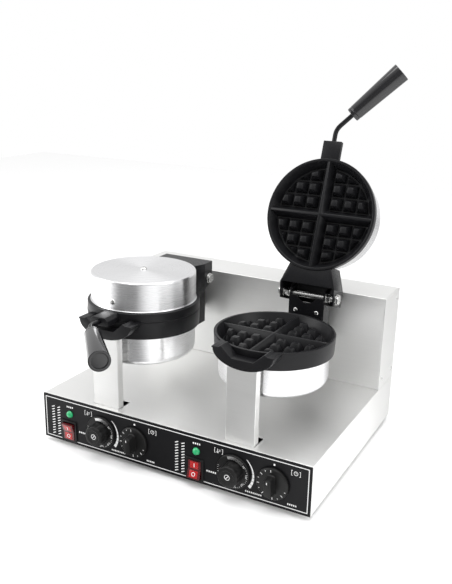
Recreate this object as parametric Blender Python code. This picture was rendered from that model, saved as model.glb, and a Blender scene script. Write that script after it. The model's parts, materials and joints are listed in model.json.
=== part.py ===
"""Counter-top waffle maker: two round heads stand on legs over a stainless base with a riser behind them.

Metres, +Z up, -Y is the front. Heights are measured from the base's lower edge while the
pieces are built, and the whole object is then stood on the origin by its parent empty.
The left lid is closed and the right lid is open.
"""

import math

import bmesh
import bpy
from mathutils import Vector

GAP = 0.0003
SHEET = 0.0015

BASE_WIDTH = 0.500
BASE_DEPTH = 0.391
BASE_HEIGHT = 0.082
RISER_DEPTH = 0.083
RISER_TOP = 0.252
FOOT_HEIGHT = 0.008
FOOT_RADIUS = 0.012
FOOT_INSET = 0.030

HEAD_X = 0.125
HEAD_Y = -0.0693
BOWL_RADIUS = 0.0889
BOWL_BOTTOM = 0.1485
RING_RADIUS = 0.0973
RING_BOTTOM = 0.199
RING_TOP = 0.2278
UPPER_RING_BOTTOM = 0.2281
UPPER_RING_TOP = 0.2425
LID_RADIUS = 0.090
LID_TOP = 0.2926

PIVOT_Y = 0.070
PIVOT_Z = 0.250
LID_ANGLE = math.radians(110)

WELL_RADIUS = 0.0928
FLOOR_RADIUS = 0.0835
LOWER_FLOOR = 0.2083
LOWER_PEG_TOP = 0.2238
UPPER_FLOOR = 0.2455
UPPER_PEG_TOP = 0.2300
PLATE_THICKNESS = 0.006
PEG_PITCH = 0.024
PEG_BASE = 0.0215
PEG_TIP = 0.010
RIB_BASE = 0.020
RIB_TIP = 0.004
PEG_CIRCLE = 0.081

ROD_RADIUS = 0.004
NECK_WIDTH = 0.033
NECK_FRONT = -0.1277
HANDLE_Z = 0.2352
ROD_IN_NECK = 0.0155
ROD_IN_GRIP = 0.030
BEND_REACH = 0.010
BEND_CORNER = Vector((0, -0.1497, HANDLE_Z))
GRIP_END = Vector((0.0970, -0.2527, HANDLE_Z - 0.003))
GRIP_LENGTH = 0.1058
GRIP_ALONG = (GRIP_END - BEND_CORNER).normalized()
GRIP_START = GRIP_END - GRIP_ALONG * GRIP_LENGTH

FRONT = -BASE_DEPTH / 2
BACK = BASE_DEPTH / 2
WALL_FRONT = FRONT + SHEET + GAP
WALL_BACK = BACK - SHEET - GAP
RISER_FRONT = BACK - RISER_DEPTH
INSIDE_FRONT = WALL_FRONT + SHEET

LEG_WIDTH = 0.050
LEG_DEPTH = 0.014
LEG_FRONT = -0.1835
LEG_BOTTOM = 0.064
CRADLE_FRONT = LEG_FRONT - HEAD_Y
CRADLE_BOTTOM = 0.2005

LID_SCREW_HOLE = 0.0028
HEATER_RADIUS = 0.060
HEATER_TUBE = 0.0035

EAR_X = 0.050
EAR_SHEET = 0.003
PIN_RADIUS = 0.005
PIN_HEAD_RADIUS = 0.010
PIN_HEAD_HEIGHT = 0.005
LOWER_BRACKET_WIDTH = 0.065
LOWER_BRACKET_FRONT = 0.0590 - HEAD_Y
LOWER_BRACKET_BACK = 0.0880 - HEAD_Y
LOWER_BRACKET_BOTTOM = 0.157
LOWER_BRACKET_TOP = 0.262
UPPER_BRACKET_TOP = 0.280
UPPER_BRACKET_BOTTOM = 0.230
UPPER_BRACKET_WAIST = 0.1243
UPPER_BRACKET_BACK = 0.1513

FRONT_LIP = 0.012
LEG_SLOT_DEPTH = 0.032
WIRING_HOLE = 0.024
LID_CORNER = 0.0035
BOWL_CORNER = 0.012

GLAND_X = 0.170
GLAND_Z = 0.040
GLAND_HOLE = 0.0080
VENT_SIZE = (0.035, 0.005)
VENT_PITCH = 0.050

LAMP_X, LAMP_Z = -0.0685, 0.0545
LAMP_HOLE = 0.0046
SWITCH_X, SWITCH_Z = -0.0707, 0.0225
THERMOSTAT_X, THERMOSTAT_Z = -0.0025, 0.0390
TIMER_X, TIMER_Z = 0.0640, 0.0390
BEZEL_SIZE = (0.032, 0.0385)
SWITCH_BODY_SIZE = (0.0280, 0.0345)
ROCKER_WIDTH = 0.0225
ROCKER_HEIGHT = 0.0300
ROCKER_TILT = {"left": math.radians(10), "right": math.radians(-10)}
ROCKER_AXIS_Y = FRONT - 0.0005
THERMOSTAT_SKIRT = 0.0283
THERMOSTAT_GRIP = 0.0185
THERMOSTAT_FLUTE = 0.0173
FLUTES = 12
TIMER_SKIRT = 0.0262
TIMER_BAR = (0.0130, 0.0290)
KNOB_TOP = 0.0225
KNOB_LOW = 0.0008
SHAFT_RADIUS = 0.003
SHAFT_HOLE = 0.0050
CAN_RADIUS = 0.0195
CAN_DEPTH = 0.024
CASE_HALF = 0.023
CASE_DEPTH = 0.034
SHAFT_SOCKET = 0.010
CASE_TOP = -(SHEET + GAP)
TIMER_REST = math.radians(-5)


def scene_cleared():
    for thing in list(bpy.data.objects):
        bpy.data.objects.remove(thing)


def mesh_of(builder):
    """A bpy mesh from a bmesh, with its faces turned outwards."""
    bmesh.ops.recalc_face_normals(builder, faces=builder.faces)
    mesh = bpy.data.meshes.new("shape")
    builder.to_mesh(mesh)
    builder.free()
    return mesh


def prism(outline, low, high, axis):
    """An outline pushed along an axis: it holds (y, z) for X, (x, z) for Y and (x, y) for Z."""
    place = {
        "X": lambda a, b, depth: (depth, a, b),
        "Y": lambda a, b, depth: (a, depth, b),
        "Z": lambda a, b, depth: (a, b, depth),
    }[axis]
    builder = bmesh.new()
    rings = [[builder.verts.new(place(a, b, depth)) for a, b in outline] for depth in (low, high)]
    for ring in rings:
        builder.faces.new(ring)
    for index in range(len(outline)):
        after = (index + 1) % len(outline)
        builder.faces.new((rings[0][index], rings[0][after], rings[1][after], rings[1][index]))
    return mesh_of(builder)


def block(low, high):
    """A box between two corners."""
    outline = [(low[0], low[1]), (high[0], low[1]), (high[0], high[1]), (low[0], high[1])]
    return prism(outline, low[2], high[2], "Z")


def turned(profile, segments=40):
    """A closed profile of (radius, height) points turned about Z."""
    builder = bmesh.new()
    rings = []
    for radius, height in profile:
        if radius == 0:
            rings.append([builder.verts.new((0, 0, height))])
            continue
        angles = (math.tau * step / segments for step in range(segments))
        rings.append(
            [builder.verts.new((radius * math.cos(a), radius * math.sin(a), height)) for a in angles]
        )
    for first, second in zip(rings, rings[1:] + rings[:1]):
        if len(first) == 1 and len(second) == 1:
            continue
        for step in range(segments):
            after = (step + 1) % segments
            corners = [first[0]] if len(first) == 1 else [first[step], first[after]]
            corners += [second[0]] if len(second) == 1 else [second[after], second[step]]
            builder.faces.new(corners)
    return mesh_of(builder)


def rod_between(start, end, radius, segments=16):
    """A plain round bar from one point to another."""
    start, end = Vector(start), Vector(end)
    length = (end - start).length
    bar = turned([(0, 0), (radius, 0), (radius, length), (0, length)], segments)
    turn = (end - start).to_track_quat("Z", "Y").to_matrix().to_4x4()
    turn.translation = start
    bar.transform(turn)
    return bar


def combined(body, tools, operation):
    """The mesh of a body after each tool has been cut from it, joined to it or crossed with it."""
    host = bpy.data.objects.new("host", body)
    bpy.context.scene.collection.objects.link(host)
    helpers = []
    for tool in tools:
        helper = bpy.data.objects.new("helper", tool)
        bpy.context.scene.collection.objects.link(helper)
        helpers.append(helper)
        modifier = host.modifiers.new("step", "BOOLEAN")
        modifier.operation = operation
        modifier.solver = "EXACT"
        modifier.object = helper
    graph = bpy.context.evaluated_depsgraph_get()
    graph.update()
    result = bpy.data.meshes.new_from_object(host.evaluated_get(graph))
    for used in [host, *helpers]:
        bpy.data.objects.remove(used)
    return result


def cut(body, *tools):
    return combined(body, tools, "DIFFERENCE")


def join(body, *tools):
    return combined(body, tools, "UNION")


def common(body, *tools):
    return combined(body, tools, "INTERSECT")


def arc(centre, radius, start, end, steps):
    """Points on a circle in a plane, from one angle in degrees to another."""
    angles = (math.radians(start + (end - start) * step / steps) for step in range(steps + 1))
    return [(centre[0] + radius * math.cos(a), centre[1] + radius * math.sin(a)) for a in angles]


def tube(points, radius):
    """A round wire through the points, as a curve with closed ends."""
    curve = bpy.data.curves.new("wire", "CURVE")
    curve.dimensions = "3D"
    curve.bevel_depth = radius
    curve.bevel_resolution = 1
    curve.use_fill_caps = True
    spline = curve.splines.new("POLY")
    spline.points.add(len(points) - 1)
    for slot, point in zip(spline.points, points):
        slot.co = (*point, 1)
    return curve


def material(name, colour, roughness, metallic):
    made = bpy.data.materials.new(name)
    made.use_nodes = True
    shader = made.node_tree.nodes["Principled BSDF"]
    shader.inputs["Base Color"].default_value = (*colour, 1)
    shader.inputs["Roughness"].default_value = roughness
    shader.inputs["Metallic"].default_value = metallic
    return made


def place(name, data, parent, finish, location=(0, 0, 0), rotation=(0, 0, 0), smooth=False):
    """Makes one named piece. Copies of a piece share their data."""
    piece = bpy.data.objects.new(name, data)
    bpy.context.scene.collection.objects.link(piece)
    piece.parent = parent
    piece.location = location
    piece.rotation_euler = rotation
    if not data.materials:
        data.materials.append(finish)
    if smooth and isinstance(data, bpy.types.Mesh):
        data.shade_smooth()
        data.set_sharp_from_angle(angle=math.radians(30))
    return piece


def empty(name, parent, location, rotation=(0, 0, 0)):
    made = bpy.data.objects.new(name, None)
    bpy.context.scene.collection.objects.link(made)
    made.parent = parent
    made.location = location
    made.rotation_euler = rotation
    return made


def panel_openings():
    """Cutters for the controls of both heads, through the panel."""
    front, back = FRONT - 0.01, FRONT + 0.01
    tools = []
    for side in (-HEAD_X, HEAD_X):
        for x, z, radius in (
            (LAMP_X, LAMP_Z, LAMP_HOLE),
            (THERMOSTAT_X, THERMOSTAT_Z, SHAFT_HOLE),
            (TIMER_X, TIMER_Z, SHAFT_HOLE),
        ):
            tools.append(rod_between((side + x, front, z), (side + x, back, z), radius, 12))
        half_width = SWITCH_BODY_SIZE[0] / 2 + GAP
        half_height = SWITCH_BODY_SIZE[1] / 2 + GAP
        tools.append(
            block(
                (side + SWITCH_X - half_width, front, SWITCH_Z - half_height),
                (side + SWITCH_X + half_width, back, SWITCH_Z + half_height),
            )
        )
    return tools


def base_cover():
    """Deck, sides and a front lip folded from one sheet, open below, behind and under the lip."""
    half = BASE_WIDTH / 2
    outside = block((-half, WALL_FRONT, 0), (half, WALL_BACK, BASE_HEIGHT))
    inside = block((SHEET - half, INSIDE_FRONT, -1), (half - SHEET, 1, BASE_HEIGHT - SHEET))
    under_lip = block((SHEET - half, -1, -1), (half - SHEET, 0, BASE_HEIGHT - FRONT_LIP))
    low, high = BASE_HEIGHT - 0.01, BASE_HEIGHT + 0.01
    slot_half = LEG_WIDTH / 2 + 2 * GAP
    slot_front, slot_back = LEG_FRONT - 2 * GAP, LEG_FRONT + LEG_SLOT_DEPTH
    wiring_half = WIRING_HOLE / 2
    middle = RISER_FRONT + RISER_DEPTH / 2
    holes = []
    for x in (-HEAD_X, HEAD_X):
        holes.append(block((x - slot_half, slot_front, low), (x + slot_half, slot_back, high)))
        wiring_low = (x - wiring_half, middle - wiring_half, low)
        holes.append(block(wiring_low, (x + wiring_half, middle + wiring_half, high)))
    return cut(outside, inside, under_lip, *holes)


def control_panel():
    half = BASE_WIDTH / 2
    sheet = block((-half, FRONT, 0), (half, FRONT + SHEET, BASE_HEIGHT))
    return cut(sheet, *panel_openings())


def riser_cover():
    """Front wall and top of the riser, folded from one sheet."""
    half = BASE_WIDTH / 2 - SHEET - GAP
    low = BASE_HEIGHT + GAP
    outline = [
        (RISER_FRONT, low),
        (RISER_FRONT + SHEET, low),
        (RISER_FRONT + SHEET, RISER_TOP - SHEET),
        (WALL_BACK, RISER_TOP - SHEET),
        (WALL_BACK, RISER_TOP),
        (RISER_FRONT, RISER_TOP),
    ]
    return prism(outline, -half, half, "X")


def riser_end():
    """Flat cheek that closes one end of the riser."""
    return block((0, RISER_FRONT, BASE_HEIGHT + GAP), (SHEET, WALL_BACK, RISER_TOP))


def rear_panel():
    """Back sheet of base and riser, with cooling slots and the cord's hole."""
    half = BASE_WIDTH / 2
    sheet = block((-half, BACK - SHEET, 0), (half, BACK, RISER_TOP))
    tools = [
        rod_between((GLAND_X, BACK - 0.01, GLAND_Z), (GLAND_X, BACK + 0.01, GLAND_Z), GLAND_HOLE, 20)
    ]
    for column in range(-3, 4):
        for height in (0.120, 0.180):
            middle = column * VENT_PITCH
            tools.append(
                block(
                    (middle - VENT_SIZE[0] / 2, BACK - 0.01, height),
                    (middle + VENT_SIZE[0] / 2, BACK + 0.01, height + VENT_SIZE[1]),
                )
            )
    return cut(sheet, *tools)


def bottom_plate():
    half = BASE_WIDTH / 2 - SHEET - GAP
    return block((-half, INSIDE_FRONT + GAP, 0), (half, WALL_BACK - GAP, SHEET))


def foot():
    """Rubber foot, narrower where it meets the bench."""
    top = -GAP
    low = 0.8 * FOOT_RADIUS
    profile = [(0, top), (FOOT_RADIUS, top), (low, -FOOT_HEIGHT), (0, -FOOT_HEIGHT)]
    return turned(profile, 20)


def cord_gland():
    """Screwed gland with a free bore, its nut outside the rear panel."""
    bore = 0.0042
    barrel = GLAND_HOLE - GAP
    profile = [
        (bore, -0.012),
        (barrel, -0.012),
        (barrel, GAP),
        (0.0125, GAP),
        (0.0125, 0.005),
        (0.0105, 0.006),
        (0.0105, 0.013),
        (0.0075, 0.016),
        (bore, 0.016),
    ]
    return turned(profile, 20)


def terminal_block():
    """Row of screw terminals for the mains wires, with a groove between each pair."""
    body = block((-0.040, -0.011, 0), (0.040, 0.011, 0.018))
    grooves = [
        block((x - 0.0015, -0.02, 0.010), (x + 0.0015, 0.02, 0.03))
        for x in (-0.024, -0.008, 0.008, 0.024)
    ]
    return cut(body, *grooves)


def cradle_underside(clearance=0.0):
    """Right half of the cradle's round lower edge, from the middle outwards."""
    width, height = 0.050, 0.027
    points = []
    for step in range(7):
        angle = math.radians(90 * step / 6)
        across = width * math.sin(angle)
        rise = height * (1 - math.cos(angle))
        points.append((across, CRADLE_BOTTOM + rise - clearance))
    return points


def support_leg():
    """Folded channel from the deck up to the cradle, its top edge cut round to fit."""
    half = LEG_WIDTH / 2
    low = LEG_FRONT - HEAD_Y
    outside = block((-half, low, LEG_BOTTOM), (half, low + LEG_DEPTH, RING_BOTTOM + 0.01))
    inside = block((SHEET - half, low + SHEET, 0), (half - SHEET, low + 1, 1))
    right = cradle_underside(GAP)
    left = [(-x, z) for x, z in reversed(right[1:])]
    notch = prism([*left, *right, (0.050, 0.3), (-0.050, 0.3)], low - 0.01, low + 0.05, "Y")
    return cut(outside, inside, notch)


def past(near, far):
    """A height a little past the far one, seen from the near one."""
    return far + 0.001 * (1 if far > near else -1)


def peg_field(floor, tip, into):
    """The square pegs of one plate, four quadrants of three by three, clipped by a round edge."""

    def half_width(z):
        return (PEG_BASE - (PEG_BASE - PEG_TIP) * (z - floor) / (tip - floor)) / 2

    builder = bmesh.new()
    first = RIB_BASE / 2 + (PEG_PITCH - PEG_BASE) / 2 + PEG_BASE / 2
    for column in range(3):
        for row in range(3):
            for sign_x, sign_y in ((1, 1), (-1, 1), (-1, -1), (1, -1)):
                x = sign_x * (first + column * PEG_PITCH)
                y = sign_y * (first + row * PEG_PITCH)
                if math.hypot(x, y) > PEG_CIRCLE + PEG_TIP:
                    continue
                squares = [
                    [
                        builder.verts.new((x + a * half_width(z), y + b * half_width(z), z))
                        for a, b in ((-1, -1), (1, -1), (1, 1), (-1, 1))
                    ]
                    for z in (into, tip)
                ]
                low, high = squares
                builder.faces.new(low)
                builder.faces.new(high)
                for side in range(4):
                    after = (side + 1) % 4
                    builder.faces.new((low[side], low[after], high[after], high[side]))
    pegs = mesh_of(builder)
    inset = PEG_CIRCLE - PEG_BASE / 2
    deeper, beyond = past(floor, into), past(into, tip)
    edge = turned(
        [
            (0, deeper),
            (inset + half_width(deeper), deeper),
            (inset + half_width(beyond), beyond),
            (0, beyond),
        ]
    )
    return common(pegs, edge)


def cross_ribs(floor, tip, into):
    """The two ribs that part the plate into quadrants."""
    foot_half = (RIB_BASE - (RIB_BASE - RIB_TIP) * (into - floor) / (tip - floor)) / 2
    outline = [(-foot_half, into), (foot_half, into), (RIB_TIP / 2, tip), (-RIB_TIP / 2, tip)]
    along_x, along_y = (prism(outline, -WELL_RADIUS, WELL_RADIUS, axis) for axis in ("X", "Y"))
    deeper, beyond = past(floor, into), past(into, tip)
    edge = turned(
        [
            (0, deeper),
            (FLOOR_RADIUS + 0.0010, deeper),
            (WELL_RADIUS - 0.0005, beyond),
            (0, beyond),
        ]
    )
    return common(join(along_x, along_y), edge)


def lower_plate():
    """Cast lower plate: ring, waffle well, cradle in front and lug behind."""
    under = LOWER_FLOOR - PLATE_THICKNESS
    skirt = BOWL_RADIUS - 0.009
    ring = turned(
        [
            (0, under),
            (skirt, under),
            (skirt, RING_BOTTOM),
            (RING_RADIUS - 0.0013, RING_BOTTOM),
            (RING_RADIUS, RING_TOP),
            (WELL_RADIUS, RING_TOP),
            (FLOOR_RADIUS, LOWER_FLOOR),
            (0, LOWER_FLOOR),
        ]
    )
    right = cradle_underside()
    outline = [
        *right,
        (0.052, RING_TOP),
        (0.052, 0.2300),
        (0.041, 0.2300),
        (0.037, 0.2325),
        (0.035, 0.2320),
        (0.018, 0.2165),
    ]
    mirrored = [(-x, z) for x, z in reversed(outline[1:])]
    cradle = prism([*outline, *mirrored], CRADLE_FRONT, -0.070, "Y")
    upper_ring_room = turned([(0, RING_TOP), (0.0978, RING_TOP), (0.0978, 0.3), (0, 0.3)])
    well_room = turned(
        [
            (0, LOWER_FLOOR - 0.002),
            (FLOOR_RADIUS + 0.0040, LOWER_FLOOR - 0.002),
            (WELL_RADIUS + 0.0025, RING_TOP),
            (WELL_RADIUS + 0.0025, RING_TOP + 0.01),
            (0, RING_TOP + 0.01),
        ]
    )
    under_room = turned([(0, 0.1), (skirt + 0.002, 0.1), (skirt + 0.002, 0.206), (0, 0.206)])
    cradle = cut(cradle, upper_ring_room, well_room, under_room)
    lug = block((-0.025, 0.0915, CRADLE_BOTTOM), (0.025, LOWER_BRACKET_FRONT - GAP, 0.215))
    inner = LOWER_FLOOR - 0.002
    pegs = peg_field(LOWER_FLOOR, LOWER_PEG_TOP, inner)
    ribs = cross_ribs(LOWER_FLOOR, LOWER_PEG_TOP + 0.001, inner)
    return join(ring, cradle, lug, ribs, pegs)


def upper_plate():
    """Cast upper plate: ring, waffle pattern facing down, handle neck in front and lug behind."""
    back = UPPER_FLOOR + PLATE_THICKNESS
    drum = LID_RADIUS - SHEET - 0.001
    ring = turned(
        [
            (0, UPPER_FLOOR),
            (FLOOR_RADIUS, UPPER_FLOOR),
            (WELL_RADIUS, UPPER_RING_BOTTOM),
            (RING_RADIUS - GAP, UPPER_RING_BOTTOM),
            (RING_RADIUS - 0.0010, UPPER_RING_TOP),
            (drum, UPPER_RING_TOP),
            (drum, back),
            (0, back),
        ]
    )
    half = NECK_WIDTH / 2
    chamfer = 0.005
    low = UPPER_RING_BOTTOM + GAP
    outline = [
        (-half, low),
        (half, low),
        (half, UPPER_RING_TOP - chamfer),
        (half - chamfer, UPPER_RING_TOP),
        (chamfer - half, UPPER_RING_TOP),
        (-half, UPPER_RING_TOP - chamfer),
    ]
    neck = prism(outline, NECK_FRONT, -0.0945, "Y")
    lug_low = UPPER_BRACKET_BOTTOM + EAR_SHEET + GAP
    lug = block((-0.022, 0.0940, lug_low), (0.022, 0.1135, UPPER_RING_TOP))
    inner = UPPER_FLOOR + 0.002
    pegs = peg_field(UPPER_FLOOR, UPPER_PEG_TOP, inner)
    ribs = cross_ribs(UPPER_FLOOR, UPPER_PEG_TOP - 0.001, inner)
    socket = rod_between((0, NECK_FRONT - 0.01, HANDLE_Z), (0, NECK_FRONT + 0.016, HANDLE_Z), 0.0043)
    return cut(join(ring, neck, lug, ribs, pegs), socket)


def lower_shell():
    """Chrome bowl under the lower plate, open at the top."""
    corner = BOWL_CORNER
    outer = arc((BOWL_RADIUS - corner, BOWL_BOTTOM + corner), corner, -90, 0, 3)
    inner = arc((BOWL_RADIUS - corner, BOWL_BOTTOM + corner), corner - SHEET, 0, -90, 1)
    rim = RING_BOTTOM - GAP
    profile = [
        (0, BOWL_BOTTOM),
        *outer,
        (BOWL_RADIUS, rim),
        (BOWL_RADIUS - SHEET, rim),
        *inner,
        (0, BOWL_BOTTOM + SHEET),
    ]
    return turned(profile)


def lid_shell():
    """Chrome cover over the upper plate, with a small rolled rim and a hole for its screw."""
    corner = LID_CORNER
    rim = UPPER_RING_TOP + GAP
    outer = arc((LID_RADIUS - corner, LID_TOP - corner), corner, 0, 90, 3)
    inner = arc((LID_RADIUS - corner, LID_TOP - corner), corner - SHEET, 90, 0, 1)
    profile = [
        (LID_SCREW_HOLE, LID_TOP - SHEET),
        *inner,
        (LID_RADIUS - SHEET, rim),
        (LID_RADIUS + 0.0016, rim),
        (LID_RADIUS + 0.0016, rim + 0.0016),
        (LID_RADIUS, rim + 0.0020),
        *outer,
        (LID_SCREW_HOLE, LID_TOP),
    ]
    return turned(profile)


def lid_screw():
    """Pan-head screw through the middle of the lid."""
    low = LID_TOP + GAP
    shank = LID_SCREW_HOLE - GAP
    profile = [
        (0, low + 0.0030),
        (0.0035, low + 0.0028),
        (0.0062, low + 0.0012),
        (0.0062, low),
        (shank, low),
        (shank, low - 0.012),
        (0, low - 0.012),
    ]
    return turned(profile, 16)


def heater(height, terminal):
    """Tubular element bent to an open ring, with both ends turned towards the terminals."""
    ring = [(x, y, height) for x, y in arc((0, 0), HEATER_RADIUS, 100, 440, 16)]
    start, end = ring[0], ring[-1]
    return tube([(start[0], start[1], terminal), *ring, (end[0], end[1], terminal)], HEATER_TUBE)


def pin_room():
    """Hole for the hinge pin, in the head's own coordinates."""
    axis_y = PIVOT_Y - HEAD_Y
    return rod_between((-0.1, axis_y, PIVOT_Z), (0.1, axis_y, PIVOT_Z), PIN_RADIUS + GAP)


def upper_bracket():
    """Black hinge box behind the lid: top and bottom plates that widen backwards, and two ears."""
    front, waist, back = 0.0870, UPPER_BRACKET_WAIST, UPPER_BRACKET_BACK
    narrow = 0.037
    plan = [(narrow, front), (EAR_X, waist), (EAR_X, back)]
    inner = [(x - EAR_SHEET, y) for x, y in plan]
    inner[-1] = (EAR_X - EAR_SHEET, back + 0.01)
    inner[0] = (narrow - EAR_SHEET, front - 0.01)
    top, low = UPPER_BRACKET_TOP, UPPER_BRACKET_BOTTOM
    solid = prism([*plan, *[(-x, y) for x, y in reversed(plan)]], low, top, "Z")
    room_plan = [*inner, *[(-x, y) for x, y in reversed(inner)]]
    room = prism(room_plan, low + EAR_SHEET, top - EAR_SHEET, "Z")
    ear_x = EAR_X - EAR_SHEET
    opening = block((-ear_x, waist - 0.002, low - 0.01), (ear_x, back + 0.01, low + 0.01))
    slant = [(waist, low), (back, low + 0.012), (back, low - 0.01), (waist, low - 0.01)]
    below = prism(slant, -0.1, 0.1, "X")
    lid_room = turned(
        [
            (0, 0.2),
            (RING_RADIUS + GAP, 0.2),
            (RING_RADIUS + GAP, UPPER_RING_TOP + 2 * GAP),
            (LID_RADIUS + 0.0022, UPPER_RING_TOP + 2 * GAP),
            (LID_RADIUS + 0.0022, UPPER_RING_TOP + 0.003),
            (LID_RADIUS + 2 * GAP, UPPER_RING_TOP + 0.003),
            (LID_RADIUS + 2 * GAP, 0.3),
            (0, 0.3),
        ]
    )
    return cut(solid, room, opening, below, lid_room, pin_room())


def lower_bracket():
    """Black hinge channel that carries the pin, its web in front and two flanges behind."""
    half = LOWER_BRACKET_WIDTH / 2
    front, back = LOWER_BRACKET_FRONT, LOWER_BRACKET_BACK
    outside = block((-half, front, LOWER_BRACKET_BOTTOM), (half, back, LOWER_BRACKET_TOP))
    inside = block(
        (EAR_SHEET - half, front + EAR_SHEET, 0), (half - EAR_SHEET, back + 0.01, 0.5)
    )
    shoulder = 0.250
    scoop = arc((0, shoulder + 0.009), 0.021, 205, 335, 8)
    notch_outline = [(-0.1, 0.3), (-0.1, shoulder), *scoop, (0.1, shoulder), (0.1, 0.3)]
    notch = prism(notch_outline, front - 0.01, front + EAR_SHEET, "Y")
    return cut(outside, inside, notch, pin_room())


def hinge_pin():
    """Bolt along the hinge axis with a round head at each end."""
    head = EAR_X + GAP
    end = head + PIN_HEAD_HEIGHT
    wide, chamfer = PIN_HEAD_RADIUS, 0.0015
    profile = [
        (0, -end),
        (wide - chamfer, -end),
        (wide, chamfer - end),
        (wide, -head),
        (PIN_RADIUS, -head),
        (PIN_RADIUS, head),
        (wide, head),
        (wide, end - chamfer),
        (wide - chamfer, end),
        (0, end),
    ]
    return turned(profile, 20)


def rear_arm():
    """Bar that ties the lower bracket to the front wall of the riser."""
    front = LOWER_BRACKET_FRONT + EAR_SHEET + GAP
    back = RISER_FRONT - GAP - HEAD_Y
    return block((-0.015, front, 0.176), (0.015, back, 0.200))


def handle_rod():
    """Steel rod that leaves the neck straight and bends sideways into the grip."""
    bend_start = BEND_CORNER + Vector((0, BEND_REACH, 0))
    bend_end = BEND_CORNER + GRIP_ALONG * BEND_REACH
    points = [Vector((0, NECK_FRONT + ROD_IN_NECK, HANDLE_Z))]
    steps = 5
    for step in range(steps + 1):
        t = step / steps
        points.append(bend_start * (1 - t) ** 2 + BEND_CORNER * 2 * t * (1 - t) + bend_end * t**2)
    points.append(GRIP_START + GRIP_ALONG * ROD_IN_GRIP)
    return tube(points, ROD_RADIUS)


def handle_grip():
    """Tapered phenolic grip with a blind hole for the rod, its mouth at the origin."""
    length = GRIP_LENGTH
    hole = ROD_RADIUS + GAP
    small, large, edge = 0.0125, 0.0165, 0.0015
    profile = [
        (0, ROD_IN_GRIP + 0.002),
        (hole, ROD_IN_GRIP + 0.002),
        (hole, 0),
        (small - edge, 0),
        (small, edge),
        (large, length - edge),
        (large - edge, length),
        (0, length),
    ]
    return turned(profile, 24)


def lamp():
    """Green indicator lens with its barrel, facing along +Z."""
    profile = [
        (0, 0.0055),
        (0.0030, 0.0045),
        (0.0046, 0.0022),
        (0.0050, 0.0012),
        (0.0064, 0.0010),
        (0.0064, GAP),
        (0.0042, GAP),
        (0.0042, -0.014),
        (0, -0.014),
    ]
    return turned(profile, 16)


def switch_body():
    """Black bezel and housing of the rocker switch, with the pocket the rocker turns in."""
    bezel_x, bezel_z = BEZEL_SIZE[0] / 2, BEZEL_SIZE[1] / 2
    body_x, body_z = SWITCH_BODY_SIZE[0] / 2, SWITCH_BODY_SIZE[1] / 2
    bezel = block((-bezel_x, -0.0022, -bezel_z), (bezel_x, -GAP, bezel_z))
    housing = block((-body_x, -0.0010, -body_z), (body_x, 0.022, body_z))
    pocket_x = ROCKER_WIDTH / 2 + 2 * GAP
    pocket_z = ROCKER_HEIGHT / 2 + 0.0012
    pocket = block((-pocket_x, -0.01, -pocket_z), (pocket_x, 0.008, pocket_z))
    return cut(join(bezel, housing), pocket)


def switch_rocker():
    """Red rocker with a hollowed face, turning about X through its origin."""
    half = ROCKER_HEIGHT / 2
    outline = [
        (-0.0050, half),
        (-0.0024, 0),
        (-0.0050, -half),
        (0.0005, -half),
        (0.0050, -0.0060),
        (0.0050, 0.0060),
        (0.0005, half),
    ]
    return prism(outline, -ROCKER_WIDTH / 2, ROCKER_WIDTH / 2, "X")


def control_can():
    """Round case behind the panel, with a blind hole that its shaft turns in. It opens along +Z."""
    hole = SHAFT_RADIUS + GAP
    profile = [
        (hole, CASE_TOP),
        (CAN_RADIUS, CASE_TOP),
        (CAN_RADIUS, CASE_TOP - CAN_DEPTH),
        (0, CASE_TOP - CAN_DEPTH),
        (0, CASE_TOP - SHAFT_SOCKET),
        (hole, CASE_TOP - SHAFT_SOCKET),
    ]
    return turned(profile, 24)


def timer_case():
    """Square clockwork case behind the panel, with a blind hole for its shaft, opening along +Z."""
    low, high = CASE_TOP - CASE_DEPTH, CASE_TOP
    case = block((-CASE_HALF, -CASE_HALF, low), (CASE_HALF, CASE_HALF, high))
    hole = rod_between((0, 0, high - SHAFT_SOCKET), (0, 0, high + 0.01), SHAFT_RADIUS + GAP, 12)
    return cut(case, hole)


def control_shaft():
    """Round shaft from inside the case to inside the knob, along +Z."""
    low = CASE_TOP - SHAFT_SOCKET + 4 * GAP
    high = 0.0135
    return turned([(0, low), (SHAFT_RADIUS, low), (SHAFT_RADIUS, high), (0, high)], 12)


def knob_hole(end):
    return rod_between((0, 0, -0.01), (0, 0, end), SHAFT_RADIUS + GAP, 12)


def thermostat_knob():
    """Fluted knob on a dial skirt, turning about +Z."""
    wide = THERMOSTAT_SKIRT
    profile = [(0, KNOB_LOW), (wide, KNOB_LOW), (wide, 0.0030), (wide - 0.0013, 0.0045), (0, 0.0045)]
    skirt = turned(profile, 32)
    outline = []
    for step in range(FLUTES * 3):
        angle = math.tau * step / (FLUTES * 3)
        radius = THERMOSTAT_FLUTE if step % 3 == 0 else THERMOSTAT_GRIP
        outline.append((radius * math.cos(angle), radius * math.sin(angle)))
    body = prism(outline, 0.004, KNOB_TOP, "Z")
    return cut(join(skirt, body), knob_hole(0.0140))


def timer_knob():
    """Skirted knob with a bar to turn it by, turning about +Z."""
    wide = TIMER_SKIRT
    profile = [(0, KNOB_LOW), (wide, KNOB_LOW), (wide, 0.0045), (wide - 0.0022, 0.0065), (0, 0.0065)]
    skirt = turned(profile, 32)
    half_width, half_length = TIMER_BAR[0] / 2, TIMER_BAR[1] / 2
    bar = block((-half_width, -half_length, 0.0055), (half_width, half_length, KNOB_TOP))
    return cut(join(skirt, bar), knob_hole(0.0140))


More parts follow.
